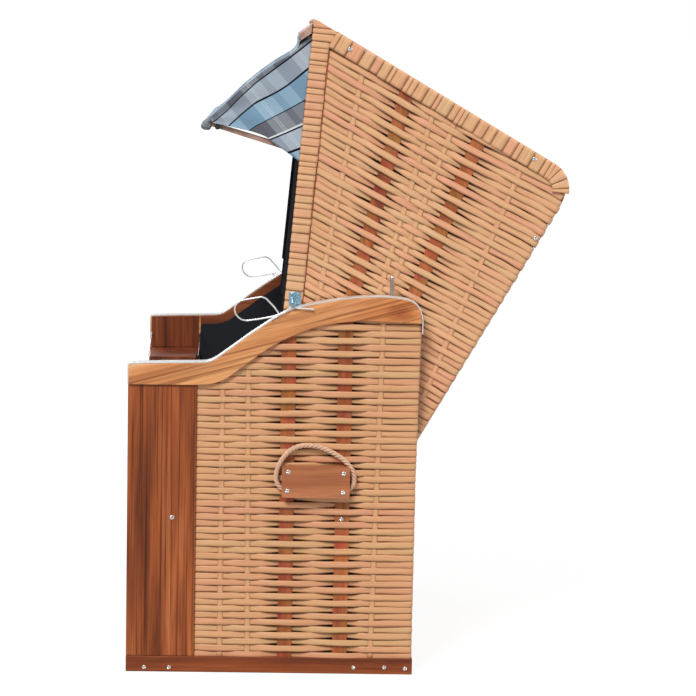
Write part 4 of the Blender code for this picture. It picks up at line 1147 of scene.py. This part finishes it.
def screw(bundle_verts, bundle_quads, at, normal, radius, turn=0.0):
    """A domed cross-head screw as a polar grid whose cross is pressed in."""
    normal = Vector(normal).normalized()
    side = normal.orthogonal().normalized()
    other = normal.cross(side)
    start = sum(len(v) for v in bundle_verts)
    rings, spokes = 7, 24
    verts = []
    for i in range(rings + 1):
        rr = i / rings
        for j in range(spokes):
            a = 2 * pi * j / spokes + turn
            x, y = rr * cos(a), rr * sin(a)
            h = 0.42 * sqrt(max(0.0, 1 - rr * rr))
            ca, sa = cos(-turn), sin(-turn)
            u, w = x * ca - y * sa, x * sa + y * ca
            if rr < 0.66 and min(abs(u), abs(w)) < 0.17:
                h -= 0.36
            if i == rings:
                h = -0.15
            p = Vector(at) + (side * x + other * y + normal * h) * radius
            verts.append(tuple(p))
    for i in range(rings):
        for j in range(spokes):
            k = (j + 1) % spokes
            bundle_quads.append((start + i * spokes + j, start + (i + 1) * spokes + j,
                                 start + (i + 1) * spokes + k, start + i * spokes + k))
    bundle_verts.append(verts)


def screws(steel):
    def inv(px, py, x):
        """Where the photograph's camera sees that pixel on the plane of x."""
        cam = bpy.context.scene.camera.matrix_world
        r, u, f = cam.col[0].xyz, cam.col[1].xyz, -cam.col[2].xyz
        ray = f * 2523 + r * (px - 348) - u * (py - 348)
        p = cam.translation + ray * ((x - cam.translation.x) / ray.x)
        return p.y, p.z

    sets = {"base": ([], []), "hood": ([], [])}
    for side in (1, -1):
        normal = (side, 0, 0)
        for d, z, x, r in ((0.121, 0.425, 0.586, 0.0070), (0.578, 0.425, 0.5812, 0.0066),
                           (0.432, 0.5575, 0.6108, 0.0068), (0.581, 0.555, 0.6108, 0.0068),
                           (0.430, 0.506, 0.6108, 0.0068), (0.580, 0.503, 0.6108, 0.0068)):
            screw(*sets["base"], (x * side, FRONT + d, z), normal, r, 0.3 + d)
        for px, py in ((143.9, 668.6), (168.8, 669.5), (353.3, 667.6), (384.1, 667.6), (404.9, 668.9)):
            y, z = inv(px, py, 0.590)
            screw(*sets["base"], (0.590 * side, y, max(0.012, min(z, 0.034))), normal, 0.0062, px)
        for d, z, x in ((0.578, 1.685, 0.5372), (1.077, 1.403, 0.5372), (1.086, 1.191, 0.5352)):
            screw(*sets["hood"], (x * side, FRONT + d, z), normal, 0.0062, d)
    for body, (verts, quads) in sets.items():
        flat = np.array([p for group in verts for p in group])
        piece = quad_piece("screws_" + body, flat, np.array(quads), steel, body)


def fittings(steel):
    for side, tag in ((1, "left"), (-1, "right")):
        rect = [(0.4268, 1.0008), (0.4590, 1.0008), (0.4590, 1.0352), (0.4268, 1.0352)]
        bm = bmesh.new()

        def slab(x0, x1, points):
            lo = [bm.verts.new((x0 * side, FRONT + d, z)) for d, z in points]
            hi = [bm.verts.new((x1 * side, FRONT + d, z)) for d, z in points]
            m = len(points)
            bm.faces.new(lo)
            bm.faces.new(hi[::-1])
            for i in range(m):
                bm.faces.new((lo[i], hi[i], hi[(i + 1) % m], lo[(i + 1) % m]))

        def disc(x0, x1, d, z, r, m=28, turn=0.0):
            slab(x0, x1, [(d + r * cos(2 * pi * k / m + turn), z + r * sin(2 * pi * k / m + turn)) for k in range(m)])

        slab(0.5360, 0.5392, rect)
        disc(0.5392, 0.5408, BOLT_D, BOLT_Z, 0.0115)
        disc(0.5392, 0.5955, BOLT_D, BOLT_Z, 0.0039)
        disc(0.5408, 0.5462, BOLT_D, BOLT_Z, 0.0078, 6, 0.3)
        disc(0.5998, 0.6012, BOLT_D, BOLT_Z, 0.0085)
        disc(0.6012, 0.6050, BOLT_D, BOLT_Z, 0.0066, 6, 0.2)
        disc(0.5392, 0.5412, 0.4355, 1.0285, 0.0042)
        disc(0.5392, 0.5412, 0.4515, 1.0285, 0.0042)
        bmesh.ops.recalc_face_normals(bm, faces=bm.faces)
        piece = bm_piece("hood_latch_fitting_" + tag, bm, steel, "hood", 35)
        bevel(piece, 0.0007, 2, 30)
        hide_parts("hood_fitting_" + tag)


BOLT_D, BOLT_Z = 0.4377, 1.0093


# ------------------------------------------------------------------------ rope
ROPE_R, ROPE_X = 0.0071, 0.5939
PLATE_MID0, PLATE_MID1 = 0.4300, 0.5830
ROPE_LINE = [(PLATE_MID0 - 0.0014, 0.5090), (0.4180, 0.5090), (0.4060, 0.5200), (0.4000, 0.5385),
             (0.4035, 0.5640), (0.4165, 0.5910), (0.4376, 0.6140), (0.4620, 0.6255),
             (0.4866, 0.6280), (0.5113, 0.6250), (0.5402, 0.6144), (0.5692, 0.5982),
             (0.5890, 0.5815), (0.6045, 0.5610), (0.6095, 0.5385), (0.6065, 0.5200),
             (0.5950, 0.5090), (PLATE_MID1 + 0.0014, 0.5090)]


def ropes(mat):
    for side, tag in ((1, "left"), (-1, "right")):
        line = fine_line([(ROPE_X * side, FRONT + d, z) for d, z in ROPE_LINE], 0.0016)
        s = np.concatenate([[0.0], np.cumsum(np.linalg.norm(np.diff(line, axis=0), axis=1))])
        way = np.gradient(line, axis=0)
        way /= np.linalg.norm(way, axis=1)[:, None]
        out = np.broadcast_to(np.array([float(side), 0, 0]), line.shape)
        across = np.cross(out, way)
        bundle = Bundle()
        pitch = 0.034
        for k in range(3):
            a = s / pitch * 2 * pi + k * 2 * pi / 3
            centre = line + (out * np.cos(a)[:, None] + across * np.sin(a)[:, None]) * 0.0039
            w = np.gradient(centre, axis=0)
            w /= np.linalg.norm(w, axis=1)[:, None]
            o = out * np.cos(a)[:, None] + across * np.sin(a)[:, None]
            o -= w * np.sum(o * w, axis=1)[:, None]
            o /= np.linalg.norm(o, axis=1)[:, None]
            bundle.sweep(centre, np.cross(o, w), o, 0.0037, 0.0033, 0.5, k * 3.3 + side, power=2.0)
        piece = bundle.piece("twisted_rope_" + tag, mat, "base")
        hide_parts("rope_handle_" + tag)


# ---------------------------------------------------------------------- awning
AWNING_TOP = [(0.4436, 1.7180), (0.4434, 1.7040), (0.4420, 1.6925), (0.4338, 1.6804),
              (0.4171, 1.6663), (0.3763, 1.6415), (0.3294, 1.6072), (0.2881, 1.5728),
              (0.2500, 1.5357), (0.2224, 1.5101), (0.2055, 1.4970), (0.1930, 1.4900),
              (0.1880, 1.4825), (0.1900, 1.4745), (0.1985, 1.4700), (0.2110, 1.4705)]
# the cheek's upper edge, from behind the header down to the rod, and its lower one
CHEEK_TOP = [(0.4778, 1.7215), (0.4610, 1.7080), (0.4462, 1.6950), (0.4338, 1.6804), (0.4171, 1.6663),
             (0.3763, 1.6415), (0.3294, 1.6072), (0.2881, 1.5728), (0.2500, 1.5357), (0.2224, 1.5101),
             (0.2070, 1.4985)]
CHEEK_LOW = [(0.4483, 1.3845), (0.4206, 1.4050), (0.3836, 1.4304), (0.3639, 1.4455), (0.3500, 1.4530),
             (0.3157, 1.4638), (0.2700, 1.4735), (0.2275, 1.4815), (0.2150, 1.4840)]
CHEEK_REAR = [(0.4533 + (z - 1.4415) * 0.0883, z) for z in (1.7215, 1.6900, 1.6200, 1.5400, 1.4600, 1.3845)]
CHECK_EDGE = [(0.1900, 1.4800), (0.2080, 1.4890), (0.2250, 1.4995), (0.2535, 1.5248), (0.2900, 1.5635),
              (0.3288, 1.6005), (0.3750, 1.6360), (0.4136, 1.6655), (0.4800, 1.7190)]
AWNING_X = 0.5263


def grid_quads(n, m, base=0):
    i, j = np.meshgrid(np.arange(n - 1), np.arange(m - 1), indexing='ij')
    a = base + i * m + j
    return np.stack([a, a + 1, a + m + 1, a + m], 2).reshape(-1, 4)


def spaced(points, count):
    """count points evenly along the smooth line through points."""
    line = fine_line(points, 0.002)
    at = np.linspace(0, len(line) - 1, count)
    return np.stack([np.interp(at, np.arange(len(line)), line[:, k]) for k in range(2)], 1)


def awning(cloth, dark):
    """One sheet: over the header's front, down over the rod, with its cheeks
    turned down at the sides."""
    top = fine_line(AWNING_TOP, 0.0060)
    n, m = len(top), 96
    walked = np.concatenate([[0.0], np.cumsum(np.linalg.norm(np.diff(top, axis=0), axis=1))])
    way = np.gradient(top, axis=0)
    way /= np.linalg.norm(way, axis=1)[:, None]
    across = AWNING_X * (np.sin(np.linspace(-pi / 2, pi / 2, m)) * 0.35 + np.linspace(-1, 1, m) * 0.65)
    slope = np.array([-0.755, -0.655])
    verts, places = [], []
    for i in range(n):
        u = walked[i] / walked[-1]
        crown = sin(pi * np.clip((u - 0.06) / 0.74, 0, 1)) ** 0.7
        roll = np.clip((u - 0.70) / 0.14, 0, 1)
        roll = roll * roll * (3 - 2 * roll)
        for x in across:
            e = max(0.0, 1 - (abs(x) / AWNING_X) ** 14)
            wide = max(0.0, 1 - (abs(x) / AWNING_X) ** 2)
            lift = -0.0052 * crown * e + 0.0008 * crown * e * sin(x * 23.0 + u * 4.0)
            d = top[i, 0] + way[i, 1] * lift - 0.0105 * roll * (0.45 * e + 0.55 * wide)
            z = top[i, 1] - way[i, 0] * lift - 0.0145 * roll * (0.45 * e + 0.55 * wide)
            verts.append((x, FRONT + d, z))
            places.append((float(np.dot(top[i], -slope)) if u < 0.86 else
                           float(np.dot(top[int(0.86 * n)], -slope)) - (walked[i] - 0.86 * walked[-1]),
                           abs(x) - AWNING_X - 0.0131, 0.0))
    quads = [grid_quads(n, m)]
    tn, rows = 64, 44
    T = spaced(CHEEK_TOP, tn)
    a, b = np.linspace(0, 1, tn), np.linspace(0, 1, rows)
    L, E = spaced(CHEEK_LOW, tn), spaced(CHEEK_REAR, rows)
    R = T[-1] + (L[-1] - T[-1]) * b[:, None]
    edge = np.array(CHECK_EDGE)
    for side in (1, -1):
        base = len(verts)
        for i in range(tn):
            for j in range(rows):
                c = ((1 - b[j]) * T[i] + b[j] * L[i] + (1 - a[i]) * E[j] + a[i] * R[j]
                     - ((1 - a[i]) * (1 - b[j]) * T[0] + a[i] * (1 - b[j]) * T[-1]
                        + (1 - a[i]) * b[j] * L[0] + a[i] * b[j] * L[-1]))
                hang = sin(pi * a[i]) ** 0.8 * sin(pi * min(1.0, b[j] * 0.92)) ** 0.9
                x = AWNING_X - 0.0045 * hang - 0.0022 * sin(b[j] * 11.0 + a[i] * 5.0) * hang
                verts.append((x * side, FRONT + c[0], c[1]))
                zt = float(np.interp(c[0], edge[:, 0], edge[:, 1]))
                step = 0.0541 + (c[0] - 0.3325) * 0.1066
                t = (zt - c[1] - 0.0068) / step
                t -= 0.13 * exp(-((t - 3.0) / 0.5) ** 2)
                sag = sin(pi * float(np.clip((c[0] - 0.319) / 0.162, 0, 1)))
                t -= 0.0088 / step * sag * sag * exp(-((t - 1.0) / 0.45) ** 2)
                places.append((float(np.dot(c, -slope)), t * BAND, 0.0))
        q = grid_quads(tn, rows, base)
        quads.append(q if side < 0 else q[:, ::-1])
    # the sleeve's ends are sewn shut
    fans = []
    for side, column in ((1, m - 1), (-1, 0)):
        first = int(np.argmin(np.abs(top[:, 0] - 0.2250)))
        ring = [i * m + column for i in range(first, n)]
        hub = len(verts)
        verts.append((side * (AWNING_X - 0.0015), FRONT + 0.2085, 1.4850))
        places.append((places[ring[0]][0], -0.030, 0.0))
        for p, q in zip(ring[:-1], ring[1:]):
            fans.append((hub, p, q) if side > 0 else (hub, q, p))
    quads = np.concatenate(quads)
    mesh = bpy.data.meshes.new("awning_cloth")
    mesh.from_pydata([tuple(v) for v in verts], [], [tuple(int(k) for k in q) for q in quads] + fans)
    mesh.attributes.new("cloth", 'FLOAT_VECTOR', 'POINT').data.foreach_set(
        "vector", np.ascontiguousarray(places, np.float32).ravel())
    bm = bmesh.new()
    bm.from_mesh(mesh)
    bmesh.ops.recalc_face_normals(bm, faces=bm.faces)
    flat = sum(f.calc_area() for f in bm.faces)
    bm.to_mesh(mesh)
    bm.free()
    mesh.shade_smooth()
    mesh.materials.append(cloth)
    piece = place_piece("awning_cloth", mesh, None)
    skin = piece.modifiers.new("thickness", 'SOLIDIFY')
    skin.thickness = 0.0012
    skin.offset = 0.0
    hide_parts("awning_fabric")
    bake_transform(piece)
    for side, tag in ((1, "left"), (-1, "right")):
        bm = bmesh.new()
        bmesh.ops.create_cone(bm, cap_ends=True, segments=24, radius1=0.0075, radius2=0.0065, depth=0.0040)
        for v in bm.verts:
            v.co = Vector(((0.5256 + v.co.z) * side, FRONT + 0.2290 + v.co.x, 1.4735 + v.co.y))
        bmesh.ops.recalc_face_normals(bm, faces=bm.faces)
        knob = bm_piece("awning_knob_" + tag, bm, dark, "awning_frame", 40)


# -------------------------------------------------------------------- cushions
def apply_modifiers(obj):
    depsgraph = bpy.context.evaluated_depsgraph_get()
    mesh = bpy.data.meshes.new_from_object(obj.evaluated_get(depsgraph))
    obj.modifiers.clear()
    old = obj.data
    obj.data = mesh
    bpy.data.meshes.remove(old)


def stuffed(name, size, voxel, cap, pressure, grooves=(), simulate=True):
    """A cushion's mesh in its own axes: width along X, length along Y, and its
    thickness along Z from 0. Blown up by a cloth simulation, then seamed."""
    w, l, t = size
    bm = bmesh.new()
    bmesh.ops.create_cube(bm, size=1.0)
    inset = 0.004
    for v in bm.verts:
        v.co = Vector((v.co.x * (w - 2 * inset), v.co.y * (l - 2 * inset), (v.co.z + 0.5) * (t - 2 * inset) + inset))
    bmesh.ops.bevel(bm, geom=bm.edges[:], offset=t * 0.22, segments=3, affect='EDGES')
    mesh = bpy.data.meshes.new(name)
    bm.to_mesh(mesh)
    bm.free()
    obj = bpy.data.objects.new(name, mesh)
    bpy.context.scene.collection.objects.link(obj)
    remesh = obj.modifiers.new("remesh", 'REMESH')
    remesh.mode = 'VOXEL'
    remesh.voxel_size = voxel
    apply_modifiers(obj)
    count = len(obj.data.vertices)
    rest = np.empty(count * 3)
    obj.data.vertices.foreach_get("co", rest)
    rest = rest.reshape(-1, 3)
    if simulate:
        mod = obj.modifiers.new("cloth", 'CLOTH')
        mod.settings.use_pressure = True
        mod.settings.uniform_pressure_force = pressure
        mod.settings.effector_weights.gravity = 0.0
        mod.settings.quality = 4
        mod.settings.mass = 0.3
        mod.settings.tension_stiffness = 12
        mod.settings.compression_stiffness = 12
        mod.settings.bending_stiffness = 0.6
        mod.collision_settings.use_collision = False
        mod.point_cache.frame_start = 1
        mod.point_cache.frame_end = 20
        scene = bpy.context.scene
        for at in range(1, 21):
            scene.frame_set(at)
        apply_modifiers(obj)
        scene.frame_set(1)
    moved = np.empty(len(obj.data.vertices) * 3)
    obj.data.vertices.foreach_get("co", moved)
    moved = moved.reshape(-1, 3)
    if len(moved) == len(rest):
        step = moved - rest
        length = np.linalg.norm(step, axis=1)
        # ease the cap off towards the edges, so that the sides pull in
        keep = np.minimum(1.0, cap / np.maximum(length, 1e-9))
        moved = rest + step * keep[:, None]
    x, y, z = moved.T
    hx, hy = w / 2, l / 2
    # crown of the top, flat where it rests, and waists between the corners
    fx, fy = np.clip(np.abs(x) / hx, 0, 1), np.clip(np.abs(y) / hy, 0, 1)
    crown = (1 - fx ** 6) * (1 - fy ** 4)
    high = np.clip(z / t, 0, 1)
    z = np.where(high > 0.5, np.minimum(z, t * (0.90 + 0.10 * crown) + 0.002), np.maximum(z, 0.0003))
    z = np.maximum(z, 0.0003)
    x = x * (1 - 0.006 * (1 - fy ** 2)) * np.minimum(1, (hx - 0.0008) / max(np.abs(x).max(), 1e-6))
    y = y * (1 - 0.010 * (1 - fx ** 2)) * np.minimum(1, (hy - 0.0008) / max(np.abs(y).max(), 1e-6))
    top = np.clip((high - 0.45) / 0.3, 0, 1)
    for axis, at, depth, reach in grooves:
        q = (x if axis == 0 else y) - at
        dip = np.exp(-(q / reach) ** 2)
        pull = 1 + 0.22 * np.sin((y if axis == 0 else x) * 2 * pi / 0.055 + at * 7)
        z = z - depth * dip * top * pull
    # small creases that run in from the seams
    z = z + top * 0.0011 * np.sin(x * 71 + np.sin(y * 23) * 2) * (fy ** 3) + top * 0.0009 * np.sin(y * 83 + x * 9) * (fx ** 3)
    obj.data.vertices.foreach_set("co", np.stack([x, y, z], 1).ravel())
    obj.data.update()
    level = obj.modifiers.new("smooth", 'SMOOTH')
    level.factor = 0.5
    level.iterations = 3
    fine = obj.modifiers.new("fine", 'SUBSURF')
    fine.levels = fine.render_levels = 1
    apply_modifiers(obj)
    obj.data.shade_smooth()
    return obj


def cloth_places(obj, size, shift=(0.0, 0.0)):
    w, l, t = size
    pts = np.empty(len(obj.data.vertices) * 3)
    obj.data.vertices.foreach_get("co", pts)
    x, y, z = pts.reshape(-1, 3).T
    kx = np.clip((np.abs(x) - (w / 2 - 0.03)) / 0.03, 0, 1)
    ky = np.clip((np.abs(y) - (l / 2 - 0.03)) / 0.03, 0, 1)
    drop = np.clip(t - z, 0, None)
    u = y + np.sign(y) * drop * ky + shift[1]
    v = x + np.sign(x) * drop * kx + shift[0]
    data = np.stack([u, v, np.zeros(len(u))], 1)
    obj.data.attributes.new("cloth", 'FLOAT_VECTOR', 'POINT').data.foreach_set(
        "vector", np.ascontiguousarray(data, np.float32).ravel())


def piping(bundle, size, to_world, height, inset=0.0015, radius=0.0042, step=0.012):
    """Corded seam round a cushion at one height."""
    w, l, t = size
    r = 0.028
    pts = []
    hx, hy = w / 2 - inset, l / 2 - inset
    for cx, cy, a0 in ((hx - r, hy - r, 0), (-hx + r, hy - r, 90), (-hx + r, -hy + r, 180), (hx - r, -hy + r, 270)):
        for k in range(7):
            a = radians(a0 + 15 * k)
            pts.append((cx + r * cos(a), cy + r * sin(a)))
    pts.append(pts[0])
    pts = np.array(pts)
    walked = np.concatenate([[0.0], np.cumsum(np.linalg.norm(np.diff(pts, axis=0), axis=1))])
    want = np.linspace(0, walked[-1], int(walked[-1] / step), endpoint=False)
    x, y = np.interp(want, walked, pts[:, 0]), np.interp(want, walked, pts[:, 1])
    waist_x = 1 - 0.006 * (1 - np.clip(np.abs(y) / hy, 0, 1) ** 2)
    waist_y = 1 - 0.010 * (1 - np.clip(np.abs(x) / hx, 0, 1) ** 2)
    z = np.full(len(x), height) + 0.0008 * np.sin(want * 31)
    local = np.stack([x * waist_x, y * waist_y, z], 1)
    way = np.roll(local, -1, 0) - np.roll(local, 1, 0)
    way /= np.linalg.norm(way, axis=1)[:, None]
    out = np.cross(way, np.array([0, 0, 1.0]))
    world = np.array([to_world @ Vector(p) for p in local])
    turn = to_world.to_3x3()
    out_w = np.array([turn @ Vector(o) for o in out])
    up_w = np.array(turn @ Vector((0, 0, 1)))
    bundle.sweep(world, np.broadcast_to(up_w, world.shape), out_w, radius, radius, 0.5, 1.0, power=2.0, closed=True)


def piping_material():
    n = Nodes("piping", (0.05, 0.06, 0.09))
    fibre = n.noise(n.place(), 700.0, 2.0, 0.6)
    return n.finish(n.mix(fibre, (0.028, 0.034, 0.055), (0.070, 0.080, 0.115)), 0.85, n.bump(fibre, 0.4, 0.0005),
                    Specular_IOR_Level=0.2)


def frame_of(origin, along, out):
    """Matrix from a cushion's own axes: its X is the frame's X."""
    y = Vector((0, *along)).normalized()
    z = Vector((0, *out)).normalized()
    m = Matrix((Vector((1, 0, 0)), y, z)).transposed().to_4x4()
    m.translation = origin
    return m


def cushions(cloth, cord_mat):
    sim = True
    a = LEAN
    # the backrest's own directions, as the solids have them
    low, high = np.array((0.075, -0.170)), np.array((0.185, 0.620))
    along = (high - low) / np.linalg.norm(high - low)
    out = np.array((-along[1], along[0]))

    def world2(v):
        return (v[0] * CA + v[1] * SA, -v[0] * SA + v[1] * CA)

    def backrest(s0, s1, front, x):
        mid = low + along * (s0 + s1) / 2 + out * front
        at = hood([(x, mid[0], mid[1])])[0]
        return frame_of(Vector(at), world2(along), world2(out))

    jobs = [
        ("seat_cushion", (1.014, 0.574, 0.0777), 0.0105, 0.014, 3.0,
         [(0, 0.0, 0.016, 0.011)], frame_of(Vector((0, FRONT + 0.313, 0.4206)), (1, 0), (0, 1)), "base", (0.0, 0.0), 0.75),
        ("back_cushion", (1.010, 0.741, 0.0717), 0.0105, 0.014, 3.0,
         [(0, 0.0, 0.016, 0.011), (1, -0.13, 0.010, 0.010), (1, 0.12, 0.010, 0.010)],
         backrest(0.004, 0.745, 0.0003, 0.0), "hood", (0.0, 0.04), 0.7),
        ("neck_pillow_left", (0.340, 0.170, 0.0590), 0.008, 0.014, 4.0, [],
         backrest(0.560, 0.730, 0.0730, 0.255), "hood", (0.255, 0.1), 0.6),
        ("neck_pillow_right", (0.340, 0.170, 0.0590), 0.008, 0.014, 4.0, [],
         backrest(0.560, 0.730, 0.0730, -0.255), "hood", (-0.255, 0.1), 0.6),
        ("footrest_cushion_left", (0.494, 0.465, 0.0595), 0.0105, 0.012, 3.0, [],
         frame_of(Vector((0.257, FRONT + 0.2425, 0.2704)), (1, 0), (0, 1)), "footrest_left", (0.257, 0.0), 0.7),
        ("footrest_cushion_right", (0.494, 0.465, 0.0595), 0.0105, 0.012, 3.0, [],
         frame_of(Vector((-0.257, FRONT + 0.2425, 0.2704)), (1, 0), (0, 1)), "footrest_right", (-0.257, 0.0), 0.7),
    ]
    for node, size, voxel, cap, pressure, grooves, matrix, body, shift, fill in jobs:
        obj = stuffed(node + "_soft", size, voxel, cap, pressure, grooves, sim)
        cloth_places(obj, size, shift)
        obj.data.transform(matrix)
        obj.data.materials.append(cloth)
        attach(obj, body)
        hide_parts(node)
        bundle = Bundle()
        piping(bundle, size, matrix, size[2] * 0.80)
        if size[2] > 0.065:
            piping(bundle, size, matrix, size[2] * 0.20)
        cordage = bundle.piece(node + "_piping", cord_mat, body)


# ------------------------------------------------------- materials on the frame
def dress(materials):
    nodes = frame["nodes"]
    for names, mat in materials:
        for name in names:
            obj = nodes[name] if isinstance(nodes, dict) else bpy.data.objects[name]
            if not obj.material_slots:
                obj.data.materials.append(mat)
            for slot in obj.material_slots:
                slot.material = mat


def both(*names):
    return [n + "_" + s for n in names for s in ("left", "right")]


def build():
    make_camera()
    make_light()
    # the last colour of each cane is painted shade, mixed in towards the strands' long edges
    cane = cane_material("woven_cane", (0.680, 0.315, 0.178), (0.690, 0.368, 0.180), (0.640, 0.395, 0.190),
                         (0.300, 0.110, 0.040))
    hood_cane = cane_material("hood_cane", (0.750, 0.360, 0.215), (0.750, 0.410, 0.215), (0.710, 0.440, 0.230),
                              (0.320, 0.120, 0.045))
    rib = wood_material("rib_wood", 2, (0.220, 0.052, 0.018), (0.390, 0.105, 0.036), (0.520, 0.180, 0.060), 3.0,
                        patchy=0.55)
    stile = wood_material("stile_wood", 2, (0.140, 0.030, 0.007), (0.345, 0.088, 0.023), (0.560, 0.200, 0.066), 1.0,
                          streak=0.9, sharp=1.25, lines=0.95, wavy=0.025)
    rail = wood_material("rail_wood", 1, (0.130, 0.028, 0.008), (0.260, 0.060, 0.015), (0.380, 0.105, 0.030), 5.0,
                         sharp=1.2, lines=0.5, wavy=0.05)
    cross = wood_material("cross_wood", 0, (0.150, 0.040, 0.016), (0.290, 0.090, 0.036), (0.420, 0.150, 0.064), 7.0)
    arm = wood_material("armrest_wood", 1, (0.500, 0.180, 0.060), (0.750, 0.350, 0.142), (0.860, 0.520, 0.270), 9.0,
                        tilt=-15.0, streak=0.8, sharp=1.0, lines=0.85, wavy=0.05, knot_at=(0.140, 0.985))
    # painted shade: these two woods are darkened copies, for the sides' inner faces and the side tables
    inner = wood_material("shaded_inner_wood", 2, (0.095, 0.020, 0.006), (0.190, 0.042, 0.013), (0.290, 0.078, 0.026), 17.0,
                          streak=0.9, lines=0.5)
    inner_arm = wood_material("shaded_armrest_inner_wood", 1, (0.130, 0.034, 0.011), (0.250, 0.070, 0.024), (0.360, 0.115, 0.040), 19.0,
                              streak=0.9, lines=0.5)
    header = wood_material("header_wood", 0, (0.220, 0.110, 0.080), (0.390, 0.240, 0.190), (0.540, 0.370, 0.300), 15.0,
                           streak=0.9)
    plate = wood_material("plate_wood", 1, (0.330, 0.105, 0.044), (0.450, 0.160, 0.068), (0.540, 0.215, 0.098), 11.0,
                          streak=0.6)
    board = wood_material("board_wood", 0, (0.330, 0.200, 0.110), (0.450, 0.300, 0.180), (0.560, 0.400, 0.260), 13.0,
                          streak=0.6)
    lining = lining_material()
    steel = steel_material("polished_steel", (0.94, 0.95, 0.96), 0.26, metal=0.60)
    pin = steel_material("pin_steel", (0.50, 0.47, 0.45), 0.28)
    wire = steel_material("bright_wire", (0.92, 0.94, 0.95), 0.20, metal=0.65)
    dull = steel_material("dull_wire", (0.42, 0.45, 0.45), 0.30)
    zinc = steel_material("zinc_blue", (0.36, 0.60, 0.74), 0.26)
    head = steel_material("screw_steel", (0.78, 0.79, 0.80), 0.24)
    dark = steel_material("dark_end", (0.060, 0.062, 0.066), 0.45)
    rope = rope_material()
    check = check_material()
    cord_mat = piping_material()

    ropes(rope)
    dress([
        (both("bottom_rail"), rail), (both("front_stile", "mid_post", "rear_post"), stile),
        (["bottom_rail_rear", "base_rear_rail", "seat_beam_front", "seat_beam_rear", "awning_rod"], cross),
        (["header_beam"], header),
        # the side tables take the darkened inner wood, painted shade
        (both("seat_rail"), rail), (both("side_table"), inner), (both("awning_arm"), header), (both("footrest_box"), cross),
        (both("handle_plate"), plate), (["seat_board", "backrest_panel"], board),
        (both("side_lining", "hood_lining"), lining), (both("stop_pin"), pin), (both("pivot_bolt"), steel),
        (both("release_lever"), wire),
    ])
    weave_base(cane)
    base_ribs(rib, cane)
    weave_hood(hood_cane)
    hood_ribs(rib, hood_cane)
    hood_bands(hood_cane)
    linings(lining)
    armrests(arm, steel)
    inner_faces(inner, inner_arm, lining)
    slot_shade_boards(lining)
    stays(dull)
    header_back(header)
    fittings(zinc)
    screws(head)
    awning(check, dark)
    cushions(check, cord_mat)

    bm = bmesh.new()
    bmesh.ops.create_circle(bm, cap_ends=True, segments=96, radius=60.0)
    floor = bm_piece("floor", bm, floor_material(), None)


build()
